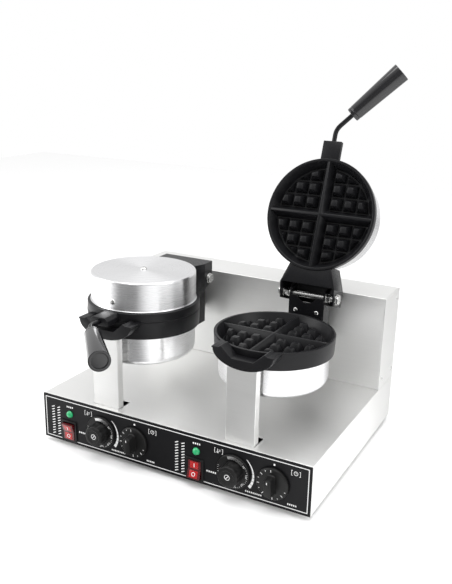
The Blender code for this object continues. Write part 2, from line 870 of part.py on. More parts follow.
def controls(side, x, parent, finish, shapes):
    """One head's lamp, switch, thermostat and timer, all facing forwards."""
    forwards = (math.radians(90), 0, 0)

    def at(dx, z, y=FRONT):
        return (x + dx, y, z)

    place(f"{side}_lamp", shapes["lamp"], parent, finish["green"], at(LAMP_X, LAMP_Z), forwards, True)
    switch = at(SWITCH_X, SWITCH_Z)
    place(f"{side}_switch_body", shapes["switch_body"], parent, finish["plastic"], switch)
    pivot = at(SWITCH_X, SWITCH_Z, ROCKER_AXIS_Y)
    tilt = (ROCKER_TILT[side], 0, 0)
    place(f"{side}_switch_rocker", shapes["rocker"], parent, finish["red"], pivot, tilt)
    dials = (
        ("thermostat", THERMOSTAT_X, THERMOSTAT_Z, 0),
        ("timer", TIMER_X, TIMER_Z, TIMER_REST),
    )
    for kind, dx, z, angle in dials:
        spot = at(dx, z)
        spindle = empty(f"{side}_{kind}_spindle", parent, spot, (math.radians(90), angle, 0))
        place(f"{side}_{kind}_body", shapes[f"{kind}_body"], parent, finish["zinc"], spot, forwards)
        place(f"{side}_{kind}_shaft", shapes["shaft"], spindle, finish["zinc"], smooth=True)
        place(f"{side}_{kind}_knob", shapes[f"{kind}_knob"], spindle, finish["plastic"], smooth=True)


def head(side, x, parent, finish, shapes, lid_turn):
    """One head: bowl, plates, brackets, pin, lid and handle."""
    stand = empty(f"{side}_head", parent, (x, HEAD_Y, 0))
    pivot = Vector((0, PIVOT_Y - HEAD_Y, PIVOT_Z))
    lid = empty(f"{side}_lid", stand, pivot, (-lid_turn, 0, 0))
    fixed = (
        ("support_leg", "stainless", False),
        ("lower_shell", "chrome", True),
        ("lower_plate", "cast", True),
        ("lower_heater", "heater", True),
        ("lower_bracket", "black", False),
        ("rear_arm", "black", False),
    )
    for kind, colour, smooth in fixed:
        place(f"{side}_{kind}", shapes[kind], stand, finish[colour], smooth=smooth)
    across = (0, math.radians(90), 0)
    place(f"{side}_hinge_pin", shapes["hinge_pin"], stand, finish["zinc"], pivot, across, True)
    moving = (
        ("upper_plate", "cast", True),
        ("upper_heater", "heater", True),
        ("upper_bracket", "black", False),
        ("lid_shell", "chrome", True),
        ("lid_screw", "zinc", True),
        ("handle_rod", "black", True),
    )
    for kind, colour, smooth in moving:
        place(f"{side}_{kind}", shapes[kind], lid, finish[colour], -pivot, smooth=smooth)
    grip_turn = GRIP_ALONG.to_track_quat("Z", "Y").to_euler()
    grip_spot = GRIP_START - pivot
    place(
        f"{side}_handle_grip", shapes["handle_grip"], lid, finish["grip"], grip_spot, grip_turn, True
    )


def base(parent, finish):
    steel = finish["stainless"]
    place("base_cover", base_cover(), parent, steel)
    place("control_panel", control_panel(), parent, finish["panel"])
    place("riser_cover", riser_cover(), parent, steel)
    end = riser_end()
    place("riser_end_left", end, parent, steel, (-BASE_WIDTH / 2, 0, 0))
    place("riser_end_right", end, parent, steel, (BASE_WIDTH / 2 - SHEET, 0, 0))
    place("rear_panel", rear_panel(), parent, steel)
    place("bottom_plate", bottom_plate(), parent, steel)
    outwards = (math.radians(-90), 0, 0)
    place("cord_gland", cord_gland(), parent, finish["plastic"], (GLAND_X, BACK, GLAND_Z), outwards, True)
    place("terminal_block", terminal_block(), parent, finish["plastic"], (0, 0.120, SHEET + GAP))
    shape = foot()
    x = BASE_WIDTH / 2 - FOOT_INSET
    y = BASE_DEPTH / 2 - FOOT_INSET
    for name, spot in (
        ("foot_front_left", (-x, -y)),
        ("foot_front_right", (x, -y)),
        ("foot_back_left", (-x, y)),
        ("foot_back_right", (x, y)),
    ):
        place(name, shape, parent, finish["rubber"], (*spot, 0), smooth=True)


def stand_on_origin(root):
    """Moves the parent empty so that the middle of the underside of the whole object is the origin."""
    bpy.context.view_layer.update()
    graph = bpy.context.evaluated_depsgraph_get()
    corners = []
    for piece in bpy.data.objects:
        if piece.type == "EMPTY":
            continue
        evaluated = piece.evaluated_get(graph)
        mesh = evaluated.to_mesh()
        corners += [evaluated.matrix_world @ vertex.co for vertex in mesh.vertices]
        evaluated.to_mesh_clear()
    low = [min(corner[axis] for corner in corners) for axis in range(3)]
    high = [max(corner[axis] for corner in corners) for axis in range(3)]
    root.location = (-(low[0] + high[0]) / 2, -(low[1] + high[1]) / 2, -low[2])


scene_cleared()

FINISH = {
    "stainless": material("stainless", (0.62, 0.62, 0.61), 0.28, 1.0),
    "chrome": material("chrome", (0.80, 0.80, 0.82), 0.08, 1.0),
    "cast": material("cast", (0.030, 0.030, 0.032), 0.55, 0.0),
    "black": material("black", (0.020, 0.020, 0.022), 0.35, 0.0),
    "grip": material("grip", (0.010, 0.010, 0.011), 0.12, 0.0),
    "panel": material("panel", (0.012, 0.012, 0.014), 0.40, 0.0),
    "plastic": material("plastic", (0.020, 0.020, 0.020), 0.45, 0.0),
    "rubber": material("rubber", (0.015, 0.015, 0.015), 0.85, 0.0),
    "red": material("red", (0.55, 0.02, 0.02), 0.25, 0.0),
    "green": material("green", (0.03, 0.40, 0.10), 0.15, 0.0),
    "zinc": material("zinc", (0.60, 0.60, 0.58), 0.35, 1.0),
    "heater": material("heater", (0.16, 0.15, 0.14), 0.60, 1.0),
}
CONTROL_SHAPES = {
    "lamp": lamp(),
    "switch_body": switch_body(),
    "rocker": switch_rocker(),
    "thermostat_body": control_can(),
    "timer_body": timer_case(),
    "shaft": control_shaft(),
    "thermostat_knob": thermostat_knob(),
    "timer_knob": timer_knob(),
}
HEAD_SHAPES = {
    "support_leg": support_leg(),
    "lower_shell": lower_shell(),
    "lower_plate": lower_plate(),
    "lower_heater": heater(0.1980, 0.1860),
    "lower_bracket": lower_bracket(),
    "rear_arm": rear_arm(),
    "hinge_pin": hinge_pin(),
    "upper_plate": upper_plate(),
    "upper_heater": heater(0.2560, 0.2680),
    "upper_bracket": upper_bracket(),
    "lid_shell": lid_shell(),
    "lid_screw": lid_screw(),
    "handle_rod": handle_rod(),
    "handle_grip": handle_grip(),
}

ROOT = empty("waffle_maker", None, (0, 0, 0))
base(ROOT, FINISH)
for side_name, head_x, opening in (("left", -HEAD_X, 0), ("right", HEAD_X, LID_ANGLE)):
    head(side_name, head_x, ROOT, FINISH, HEAD_SHAPES, opening)
    controls(side_name, head_x, ROOT, FINISH, CONTROL_SHAPES)
stand_on_origin(ROOT)
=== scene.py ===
# %% [markdown]
# # A double waffle maker on a stainless base
# Two round baking heads stand on folded legs over a wide stainless base, with a riser behind them.
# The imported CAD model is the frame: it fixes every size, place and joint. This script gives each part
# its finish, and swaps a faceted CAD part for a finer one where the eye would see the facets.

# %% Load the frame
import json
import math

import bmesh
import bpy
from mathutils import Matrix, Quaternion, Vector

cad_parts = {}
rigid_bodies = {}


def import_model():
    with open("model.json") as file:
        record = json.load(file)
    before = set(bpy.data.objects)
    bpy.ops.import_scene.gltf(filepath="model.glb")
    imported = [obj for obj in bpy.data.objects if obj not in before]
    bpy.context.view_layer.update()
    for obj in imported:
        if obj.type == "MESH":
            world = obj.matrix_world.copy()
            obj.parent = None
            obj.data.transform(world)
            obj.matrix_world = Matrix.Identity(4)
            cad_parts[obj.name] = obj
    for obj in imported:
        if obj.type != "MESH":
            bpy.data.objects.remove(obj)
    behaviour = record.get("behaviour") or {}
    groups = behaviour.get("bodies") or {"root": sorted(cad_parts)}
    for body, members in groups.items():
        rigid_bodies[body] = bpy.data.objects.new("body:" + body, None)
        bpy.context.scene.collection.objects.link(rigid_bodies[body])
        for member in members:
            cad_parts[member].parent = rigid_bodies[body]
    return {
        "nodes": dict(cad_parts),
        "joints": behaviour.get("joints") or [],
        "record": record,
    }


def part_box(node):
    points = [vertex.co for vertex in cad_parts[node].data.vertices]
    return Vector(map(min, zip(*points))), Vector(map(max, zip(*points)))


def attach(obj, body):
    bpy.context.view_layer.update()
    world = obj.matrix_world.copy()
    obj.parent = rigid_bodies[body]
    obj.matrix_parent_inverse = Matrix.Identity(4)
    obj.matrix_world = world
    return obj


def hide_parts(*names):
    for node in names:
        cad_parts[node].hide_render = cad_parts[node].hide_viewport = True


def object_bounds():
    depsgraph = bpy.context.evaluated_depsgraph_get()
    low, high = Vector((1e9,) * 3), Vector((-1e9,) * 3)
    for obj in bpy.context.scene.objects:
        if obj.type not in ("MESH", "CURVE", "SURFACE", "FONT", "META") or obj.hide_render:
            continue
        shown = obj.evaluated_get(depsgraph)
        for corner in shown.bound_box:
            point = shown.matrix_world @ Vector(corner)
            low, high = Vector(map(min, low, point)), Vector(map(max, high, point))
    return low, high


for leftover in list(bpy.data.objects):
    bpy.data.objects.remove(leftover)
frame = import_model()
NODES = frame["nodes"]
CAD_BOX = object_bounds()
SLOT_OF = {part["node"]: part["material_slot"] for part in frame["record"]["subparts"]}

# %% [markdown]
# ## Where things are
# The base, the panel and the bowls give the places. Each head has a measure of its own: its origin is
# on the bowl's axis, level with the lower edge of the base, so one set of numbers serves both heads.
# A lid piece is made shut, and then swung about the hinge to where that lid stands at rest.

# %% Base, panel and heads
SIDES = ("left", "right")
JOINTS = {joint["name"]: joint for joint in frame["joints"]}
BASE_LOW, BASE_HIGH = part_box("base_cover")
PANEL_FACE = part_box("control_panel")[0].y
REAR_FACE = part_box("rear_panel")[1].y
UNDERSIDE = BASE_LOW.z


def shift(x, y, z):
    return Matrix.Translation((x, y, z))


def spin(degrees, axis):
    return Matrix.Rotation(math.radians(degrees), 4, axis)


UPRIGHT = spin(90, "X")


def head_place(side):
    """From a head's own measure to the machine."""
    low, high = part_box(f"{side}_lower_shell")
    return shift((low.x + high.x) / 2, (low.y + high.y) / 2, UNDERSIDE)


def lid_place(side):
    """The same for a piece on the lid, swung open where the lid stands open at rest."""
    hinge = JOINTS[f"{side}_lid_hinge"]
    pivot = Vector(hinge["pos_m"])
    return shift(*pivot) @ spin(hinge["range_deg"][0], "X") @ shift(*-pivot) @ head_place(side)


def control_place(side, joint):
    """A dial's own measure: its axis is +Z, pointing out of the panel, and +Y is up."""
    spot = Vector(JOINTS[f"{side}_{joint}"]["pos_m"])
    return shift(spot.x, PANEL_FACE, spot.z) @ UPRIGHT


for side in SIDES:
    print(side, "bowl axis at", [round(v, 4) for v in head_place(side).translation])

# %% Sizes of a head
BOWL_LOW, BOWL_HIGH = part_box("left_lower_shell")
BOWL_RADIUS = (BOWL_HIGH.x - BOWL_LOW.x) / 2
BOWL_BOTTOM, BOWL_TOP = BOWL_LOW.z - UNDERSIDE, BOWL_HIGH.z - UNDERSIDE
PLATE_LOW, PLATE_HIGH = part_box("left_lower_plate")
RING_RADIUS = (PLATE_HIGH.x - PLATE_LOW.x) / 2
LID_LOW, LID_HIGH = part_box("left_lid_shell")
LID_FLANGE = (LID_HIGH.x - LID_LOW.x) / 2
LID_RIM, LID_TOP = LID_LOW.z - UNDERSIDE, LID_HIGH.z - UNDERSIDE
LID_RADIUS = LID_FLANGE - 0.0016
GAP = 0.0003
SHEET = 0.0015
RING_BOTTOM = BOWL_TOP + GAP
RING_TOP = 0.2278
UPPER_RING_BOTTOM = RING_TOP + GAP
UPPER_RING_TOP = LID_RIM - GAP
print("bowl", round(BOWL_RADIUS, 4), "ring", round(RING_RADIUS, 4), "lid", round(LID_RADIUS, 4))

# %% [markdown]
# ## Helpers for objects and nodes
# The studio and the finishes are node trees, and so are the fields of pegs, screws and marks. One
# helper adds a node to any of them, with its settings and its inputs.

# %% Objects and nodes


def new_object(name, data):
    thing = bpy.data.objects.new(name, data)
    bpy.context.scene.collection.objects.link(thing)
    return thing


def add_node(tree, kind, inputs=None, **settings):
    """A node with its settings. Each input is a value, or the output of another node."""
    node = tree.nodes.new(kind)
    for setting, value in settings.items():
        setattr(node, setting, value)
    for key, value in (inputs or {}).items():
        if isinstance(value, bpy.types.NodeSocket):
            tree.links.new(value, node.inputs[key])
        else:
            node.inputs[key].default_value = value
    return node


def mix_colour(tree, factor, first, second):
    """Mixes two colours: the first where the factor is 0, the second where it is 1."""
    inputs = {"Factor": factor, "A": first, "B": second}
    return add_node(tree, "ShaderNodeMix", inputs, data_type="RGBA").outputs["Result"]


def new_finish(name, colour, roughness, metallic=0.0, **settings):
    """A Principled finish. Settings are sockets by name, with spaces written as underscores."""
    finish = bpy.data.materials.new(name)
    finish.use_nodes = True
    shader = finish.node_tree.nodes["Principled BSDF"]
    shader.inputs["Base Color"].default_value = (*colour, 1)
    shader.inputs["Roughness"].default_value = roughness
    shader.inputs["Metallic"].default_value = metallic
    for socket, value in settings.items():
        shader.inputs[socket.replace("_", " ")].default_value = value
    return finish


def feed(finish, socket, source):
    """Leads the output of a node into a socket of the finish's shader."""
    tree = finish.node_tree
    tree.links.new(source, tree.nodes["Principled BSDF"].inputs[socket])


# %% [markdown]
# ## The camera and the studio
# The camera stands a metre in front of the right corner and looks down at the heads. The light is a
# plain white studio: a large soft lamp above, one on each side, and a pale floor.
# Polished metal shows what stands round it. So the room has soft grey and white stretches that only
# reflections see, as a photographer's grey cards would give, and the floor and the air stay plain.

# %% Camera
CAMERA_PLACE = Vector((0.5865, PANEL_FACE - 0.9115, UNDERSIDE + 0.6426))
CAMERA_ROUND = math.radians(27.96)
CAMERA_DOWN = math.radians(17.26)
CAMERA_ROLL = math.radians(1.23)
LENS_MM = 46.69

level = math.cos(CAMERA_DOWN)
looking = Vector((-math.sin(CAMERA_ROUND) * level, math.cos(CAMERA_ROUND) * level, -math.sin(CAMERA_DOWN)))
camera = new_object("camera", bpy.data.cameras.new("camera"))
camera.location = CAMERA_PLACE
camera.rotation_mode = "QUATERNION"
camera.rotation_quaternion = looking.to_track_quat("-Z", "Y") @ Quaternion((0, 0, 1), CAMERA_ROLL)
camera.data.lens = LENS_MM
bpy.context.scene.camera = camera
print("camera", [round(v, 3) for v in CAMERA_PLACE])

# %% Soft grey stretches for reflections


def room_bands(tree, direction, stops):
    """Grey by compass direction: an angle from the camera's side, in degrees, and a brightness."""
    inputs = {"Vector": direction, "Angle": -CAMERA_ROUND}
    seen_from = add_node(tree, "ShaderNodeVectorRotate", inputs, rotation_type="Z_AXIS").outputs["Vector"]
    parts = add_node(tree, "ShaderNodeSeparateXYZ", {"Vector": seen_from})
    front = add_node(tree, "ShaderNodeMath", {0: parts.outputs["Y"], 1: -1}, operation="MULTIPLY")
    inputs = {0: parts.outputs["X"], 1: front.outputs[0]}
    angle = add_node(tree, "ShaderNodeMath", inputs, operation="ARCTAN2")
    inputs = {"Value": angle.outputs[0], "From Min": -math.pi, "From Max": math.pi}
    share = add_node(tree, "ShaderNodeMapRange", inputs)
    ramp = add_node(tree, "ShaderNodeValToRGB", {"Fac": share.outputs["Result"]})
    ramp.color_ramp.interpolation = "EASE"
    while len(ramp.color_ramp.elements) < len(stops):
        ramp.color_ramp.elements.new(0.5)
    for element, (degrees, grey) in zip(ramp.color_ramp.elements, stops):
        element.position = (degrees + 180) / 360
        element.color = (grey, grey, grey, 1)
    return ramp.outputs["Color"]


# %% The air: white to the eye, banded in reflections
AIR_STOPS = ((-180, 0.80), (-95, 1.0), (-50, 0.28), (-10, 0.34), (40, 0.40), (95, 0.85), (180, 0.80))
WHITE = (1, 1, 1, 1)
DOME_START, DOME_FULL = 0.45, 0.80

world = bpy.data.worlds.new("studio")
bpy.context.scene.world = world
world.use_nodes = True
air = world.node_tree
direction = add_node(air, "ShaderNodeTexCoord").outputs["Generated"]
banded = room_bands(air, direction, AIR_STOPS)
height = add_node(air, "ShaderNodeSeparateXYZ", {"Vector": direction}).outputs["Z"]
dome = {"Value": height, "From Min": DOME_START, "From Max": DOME_FULL}
overhead = add_node(air, "ShaderNodeMapRange", dome).outputs["Result"]
glossy = add_node(air, "ShaderNodeLightPath").outputs["Is Glossy Ray"]
seen = mix_colour(air, glossy, WHITE, mix_colour(air, overhead, banded, WHITE))
air.links.new(seen, air.nodes["Background"].inputs["Color"])
air.nodes["Background"].inputs["Strength"].default_value = 1.0

# %% The floor and the lamps
FLOOR_STOPS = (
    (-180, 0.60),
    (-125, 0.95),
    (-80, 0.95),
    (-48, 0.20),
    (-22, 0.20),
    (12, 0.95),
    (85, 0.95),
    (125, 0.45),
    (180, 0.60),
)
FLOOR_HALF = 3.0
FLOOR_PALE = (0.93, 0.93, 0.93)
CENTRE = (CAD_BOX[0] + CAD_BOX[1]) / 2
LAMPS = (
    ("lamp_above", (0.1, -0.1, 2.0), (1.8, 1.8), 26),
    ("lamp_left", (-1.7, -0.9, 1.1), (1.2, 1.4), 16),
    ("lamp_right", (1.8, -0.2, 1.0), (1.0, 1.4), 9),
)

floor_finish = new_finish("pale_floor", FLOOR_PALE, 0.9, Specular_IOR_Level=0.0)
ground = floor_finish.node_tree
spread = add_node(ground, "ShaderNodeTexCoord").outputs["Object"]
glossy = add_node(ground, "ShaderNodeLightPath").outputs["Is Glossy Ray"]
floor_bands = room_bands(ground, spread, FLOOR_STOPS)
feed(floor_finish, "Base Color", mix_colour(ground, glossy, (*FLOOR_PALE, 1), floor_bands))
floor_mesh = bpy.data.meshes.new("floor")
corners = [(x * FLOOR_HALF, y * FLOOR_HALF, 0) for x, y in ((-1, -1), (1, -1), (1, 1), (-1, 1))]
floor_mesh.from_pydata(corners, [], [(0, 1, 2, 3)])
floor_mesh.materials.append(floor_finish)
floor = new_object("floor", floor_mesh)
for name, place, size, watts in LAMPS:
    lamp = new_object(name, bpy.data.lights.new(name, "AREA"))
    lamp.data.shape = "RECTANGLE"
    lamp.data.size, lamp.data.size_y = size
    lamp.data.energy = watts
    lamp.location = place
    lamp.rotation_mode = "QUATERNION"
    lamp.rotation_quaternion = (CENTRE - Vector(place)).to_track_quat("-Z", "Y")
bpy.context.scene.view_settings.view_transform = "Standard"

# %% [markdown]
# ## Finishes
# Every finish is made of nodes. Sheet steel has fine brush lines, which run along the sheet. Chrome is
# spun, so its lines run round the part: the turned pieces carry a UV map for that, with U round the
# part and V along its profile. The plates are cast and coated, so they are dark, even and a bit rough.

# %% Helpers for finishes
NOISE_LOW, NOISE_HIGH = 0.3, 0.7


def pattern(finish, scale, stretch=(1, 1, 1), detail=3.0, source="Object"):
    """Noise from 0 to 1 on object or UV coordinates."""
    tree = finish.node_tree
    where = add_node(tree, "ShaderNodeTexCoord").outputs[source]
    mapped = add_node(tree, "ShaderNodeMapping", {"Vector": where, "Scale": stretch}).outputs["Vector"]
    inputs = {"Vector": mapped, "Scale": scale, "Detail": detail}
    return add_node(tree, "ShaderNodeTexNoise", inputs).outputs["Fac"]


def vary(finish, factor, low, high):
    """Lets a pattern drive the roughness between two values."""
    noise = {"Value": factor, "From Min": NOISE_LOW, "From Max": NOISE_HIGH}
    inputs = {**noise, "To Min": low, "To Max": high}
    feed(finish, "Roughness", add_node(finish.node_tree, "ShaderNodeMapRange", inputs).outputs["Result"])


def tint(finish, factor, first, second):
    """Lets a pattern mix two colours."""
    feed(finish, "Base Color", mix_colour(finish.node_tree, factor, (*first, 1), (*second, 1)))


def relief(finish, factor, depth, strength):
    """Lets a pattern raise the surface a little. The depth is in metres."""
    inputs = {"Height": factor, "Distance": depth, "Strength": strength}
    feed(finish, "Normal", add_node(finish.node_tree, "ShaderNodeBump", inputs).outputs["Normal"])


# %% Metals


def stainless_finish():
    """Sheet steel. The brush lines run along X, and along Y on the sheets that face sideways."""
    finish = new_finish("brushed_stainless", (0.84, 0.84, 0.83), 0.40, 1.0)
    tree = finish.node_tree
    lengthways = pattern(finish, 1.0, (6, 900, 900), 2.0)
    sideways = pattern(finish, 1.0, (900, 6, 900), 2.0)
    normal = add_node(tree, "ShaderNodeNewGeometry").outputs["True Normal"]
    facing = add_node(tree, "ShaderNodeSeparateXYZ", {"Vector": normal}).outputs["X"]
    sideward = add_node(tree, "ShaderNodeMath", {0: facing}, operation="ABSOLUTE").outputs[0]
    lines = mix_colour(tree, sideward, lengthways, sideways)
    tint(finish, lines, (0.83, 0.83, 0.82), (0.88, 0.88, 0.87))
    vary(finish, lines, 0.42, 0.50)
    relief(finish, lines, 0.000004, 0.3)
    return finish


def chrome_finish():
    """Polished spun steel with faint lines round the part."""
    stretched = {"Anisotropic": 0.8, "Anisotropic_Rotation": 0.25}
    finish = new_finish("polished_chrome", (0.88, 0.88, 0.89), 0.28, 1.0, **stretched)
    tangent = add_node(finish.node_tree, "ShaderNodeTangent", direction_type="UV_MAP", uv_map="turning")
    feed(finish, "Tangent", tangent.outputs["Tangent"])
    lines = pattern(finish, 1.0, (3, 2500, 1), 2.0, "UV")
    tint(finish, lines, (0.86, 0.86, 0.87), (0.90, 0.90, 0.91))
    vary(finish, lines, 0.25, 0.31)
    return finish


def zinc_finish():
    """Plated screws and pins, a little cloudy."""
    finish = new_finish("zinc_plate", (0.66, 0.66, 0.65), 0.25, 1.0)
    clouds = pattern(finish, 420)
    tint(finish, clouds, (0.56, 0.56, 0.55), (0.78, 0.78, 0.77))
    vary(finish, clouds, 0.16, 0.34)
    return finish


def heater_finish():
    """The heater's sheath, browned by heat in patches."""
    finish = new_finish("heater_sheath", (0.16, 0.15, 0.14), 0.5, 1.0)
    tint(finish, pattern(finish, 60), (0.10, 0.10, 0.11), (0.26, 0.20, 0.15))
    vary(finish, pattern(finish, 500), 0.40, 0.62)
    return finish


# %% Coatings and mouldings


def grained(name, colour, lighter, roughness, grain, depth, **settings):
    """A coating or moulding: fine grain in relief, a slight change of shade and of gloss."""
    finish = new_finish(name, colour, roughness, 0.0, **settings)
    fine = pattern(finish, grain)
    tint(finish, pattern(finish, 35), colour, lighter)
    vary(finish, fine, roughness * 0.85, roughness * 1.15)
    relief(finish, fine, depth, 0.5)
    return finish


def tile_finish(name, colour, deeper, roughness):
    """A bright moulding or lens, a little deeper in shade here and there."""
    finish = new_finish(name, colour, roughness, 0.0, Coat_Weight=0.6, Coat_Roughness=0.06)
    tint(finish, pattern(finish, 160), colour, deeper)
    vary(finish, pattern(finish, 700), roughness * 0.8, roughness * 1.2)
    return finish


COAL, ASH = (0.006, 0.006, 0.007), (0.009, 0.009, 0.010)
SOOT, SMOKE = (0.005, 0.005, 0.006), (0.008, 0.008, 0.009)
TAR, SLATE = (0.007, 0.007, 0.007), (0.010, 0.010, 0.010)
SOLE, DUST = (0.014, 0.014, 0.014), (0.022, 0.022, 0.022)
CHALK, GREY_CHALK = (0.80, 0.80, 0.80), (0.74, 0.74, 0.74)
LESS_SHINE, DULL, MATT = ({"Specular_IOR_Level": level} for level in (0.25, 0.22, 0.15))
FINISH = {
    "stainless": stainless_finish(),
    "chrome": chrome_finish(),
    "zinc_steel": zinc_finish(),
    "heater_tube": heater_finish(),
    "cast_plate": grained("nonstick_cast", COAL, ASH, 0.32, 1500, 0.00003, **DULL),
    "black_steel": grained("satin_black_steel", SOOT, SMOKE, 0.28, 1800, 0.00002, **DULL),
    "black_phenolic": grained("glossy_phenolic", COAL, ASH, 0.12, 300, 0.000004, Coat_Weight=0.4),
    "panel_black": grained("panel_enamel", COAL, ASH, 0.42, 1200, 0.00001, **MATT),
    "black_plastic": grained("black_moulding", TAR, SLATE, 0.36, 1600, 0.00002, **LESS_SHINE),
    "rubber": grained("foot_rubber", SOLE, DUST, 0.80, 900, 0.00005),
    "red_plastic": tile_finish("red_rocker", (0.090, 0.002, 0.004), (0.070, 0.001, 0.003), 0.25),
    "green_lens": tile_finish("green_lens", (0.02, 0.42, 0.16), (0.01, 0.30, 0.10), 0.15),
}
WHITE_PRINT = grained("white_print", CHALK, GREY_CHALK, 0.5, 900, 0.000004)
SILVER_PRINT = new_finish("silver_print", (0.75, 0.75, 0.75), 0.28, 1.0)
vary(SILVER_PRINT, pattern(SILVER_PRINT, 900), 0.22, 0.36)
print(len(FINISH), "finishes for the record's slots, and two for print")

# %% [markdown]
# ## Shapes that every piece is made of
# A turned part is a profile spun about an axis. A sheet or a bar is an outline pushed along an axis.
# Booleans join and cut them, and a narrow bevel goes on every edge, because no real edge is sharp and
# it is the rounded edges that catch the light.

# %% Turned and pushed shapes
ROUND_STEPS = 128
SHARP_ANGLE = 32


def mesh_from(builder):
    mesh = bpy.data.meshes.new("shape")
    builder.to_mesh(mesh)
    builder.free()
    return mesh


def mesh_of(builder):
    """A mesh with its doubled corners merged and its faces turned outwards."""
    bmesh.ops.remove_doubles(builder, verts=builder.verts, dist=1e-6)
    bmesh.ops.recalc_face_normals(builder, faces=builder.faces)
    return mesh_from(builder)


def turned(profile, steps=ROUND_STEPS):
    """A closed profile of (radius, height) turned about Z, with U round it and V along the profile."""
    builder = bmesh.new()
    uv = builder.loops.layers.uv.new("turning")
    along = [0.0]
    for first, second in zip(profile, profile[1:] + profile[:1]):
        along.append(along[-1] + math.dist(first, second))
    rings = []
    for radius, height in profile:
        count = 1 if radius == 0 else steps
        angles = [math.tau * step / steps for step in range(count)]
        spots = [(radius * math.cos(a), radius * math.sin(a), height) for a in angles]
        rings.append([builder.verts.new(spot) for spot in spots])
    for index, first in enumerate(rings):
        second = rings[(index + 1) % len(rings)]
        if len(first) == 1 and len(second) == 1:
            continue
        low, high = along[index], along[index + 1]
        for step in range(steps):
            after = (step + 1) % steps
            corners = [(first[step % len(first)], step, low)]
            if len(first) > 1:
                corners.append((first[after], step + 1, low))
            corners.append((second[after % len(second)], step + 1, high))
            if len(second) > 1:
                corners.append((second[step], step, high))
            face = builder.faces.new([corner[0] for corner in corners])
            for loop, (_, turn, length) in zip(face.loops, corners):
                loop[uv].uv = (turn / steps, length)
    return mesh_of(builder)


def prism(outline, low, high, axis):
    """An outline pushed along an axis: it holds (y, z) for X, (x, z) for Y and (x, y) for Z."""
    spot = {
        "X": lambda a, b, depth: (depth, a, b),
        "Y": lambda a, b, depth: (a, depth, b),
        "Z": lambda a, b, depth: (a, b, depth),
    }[axis]
    builder = bmesh.new()
    rings = [[builder.verts.new(spot(a, b, depth)) for a, b in outline] for depth in (low, high)]
    for ring in rings:
        builder.faces.new(ring)
    for index in range(len(outline)):
        after = (index + 1) % len(outline)
        builder.faces.new((rings[0][index], rings[0][after], rings[1][after], rings[1][index]))
    return mesh_of(builder)


def cylinder(radius, low, high, steps=ROUND_STEPS):
    return turned([(0, low), (radius, low), (radius, high), (0, high)], steps)


def box_outline(low, high):
    return [(low[0], low[1]), (high[0], low[1]), (high[0], high[1]), (low[0], high[1])]


def block(low, high):
    return prism(box_outline(low, high), low[2], high[2], "Z")


def arc(centre, radius, start, end, steps):
    """Points on a circle, from one angle in degrees to another."""
    angles = (math.radians(start + (end - start) * step / steps) for step in range(steps + 1))
    return [(centre[0] + radius * math.cos(a), centre[1] + radius * math.sin(a)) for a in angles]


def bend(start, corner, end, steps):
    """Points on a curve from start to end that leans towards a corner."""
    shares = (step / steps for step in range(steps + 1))
    return [start * (1 - t) ** 2 + corner * 2 * t * (1 - t) + end * t**2 for t in shares]


def mirrored(half):
    """A left-right outline from its right half, listed from the middle outwards and round."""
    return [*half, *[(-x, y) for x, y in reversed(half) if abs(x) > 1e-9]]


def pointing(start, along):
    """A place whose Z axis runs along a direction."""
    place = along.to_track_quat("Z", "Y").to_matrix().to_4x4()
    place.translation = start
    return place


# %% Booleans, bevels and joined meshes


def evaluated(host):
    """The plain mesh of an object with its modifiers applied. The object itself is thrown away."""
    graph = bpy.context.evaluated_depsgraph_get()
    graph.update()
    result = bpy.data.meshes.new_from_object(host.evaluated_get(graph))
    bpy.data.objects.remove(host)
    return result


def carved(body, *tools, operation="DIFFERENCE"):
    host = new_object("helper", body)
    helpers = [new_object("helper", tool) for tool in tools]
    for helper in helpers:
        step = host.modifiers.new("carve", "BOOLEAN")
        step.operation = operation
        step.solver = "EXACT"
        step.object = helper
    result = evaluated(host)
    for helper in helpers:
        bpy.data.objects.remove(helper)
    return result


def welded(mesh, distance=0.00002):
    """A copy with loose corners merged and needless edges taken off its flat faces."""
    builder = bmesh.new()
    builder.from_mesh(mesh)
    bmesh.ops.remove_doubles(builder, verts=builder.verts, dist=distance)
    bmesh.ops.dissolve_limit(
        builder, angle_limit=math.radians(1), verts=builder.verts, edges=builder.edges
    )
    return mesh_from(builder)


def eased(mesh, width, segments=2, clamp=True):
    """The mesh with a narrow round on every sharp edge."""
    host = new_object("helper", mesh)
    bevel = host.modifiers.new("ease", "BEVEL")
    bevel.width = width
    bevel.segments = segments
    bevel.limit_method = "ANGLE"
    bevel.angle_limit = math.radians(SHARP_ANGLE)
    bevel.use_clamp_overlap = clamp
    return evaluated(host)


def together(*meshes):
    """One mesh that holds several closed shapes."""
    builder = bmesh.new()
    for mesh in meshes:
        builder.from_mesh(mesh)
    return mesh_from(builder)


def moved(mesh, place):
    copy = mesh.copy()
    copy.transform(place)
    return copy


# %% Making a piece


def add_piece(name, mesh, body, finish, place=Matrix(), replaces=()):
    """Puts a mesh in its place as a finished piece. The finish is a slot's name or a material."""
    mesh = moved(mesh, place)
    material = FINISH[finish] if isinstance(finish, str) else finish
    mesh.materials.clear()
    mesh.materials.append(material)
    mesh.polygons.foreach_set("material_index", [0] * len(mesh.polygons))
    mesh.shade_smooth()
    mesh.set_sharp_from_angle(angle=math.radians(SHARP_ANGLE))
    piece = new_object(name, mesh)
    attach(piece, body)
    if replaces:
        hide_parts(*replaces)
    return piece


def on_bases(label, mesh, finish, *nodes):
    """A piece on the fixed part of each head, in place of the CAD nodes named after the side."""
    for side in SIDES:
        replaced = [f"{side}_{node}" for node in nodes]
        add_piece(f"{side}_{label}", mesh, "base", finish, head_place(side), replaced)


def on_lids(label, mesh, finish, *nodes):
    """The same on each lid."""
    for side in SIDES:
        replaced = [f"{side}_{node}" for node in nodes]
        add_piece(f"{side}_{label}", mesh, f"{side}_lid", finish, lid_place(side), replaced)


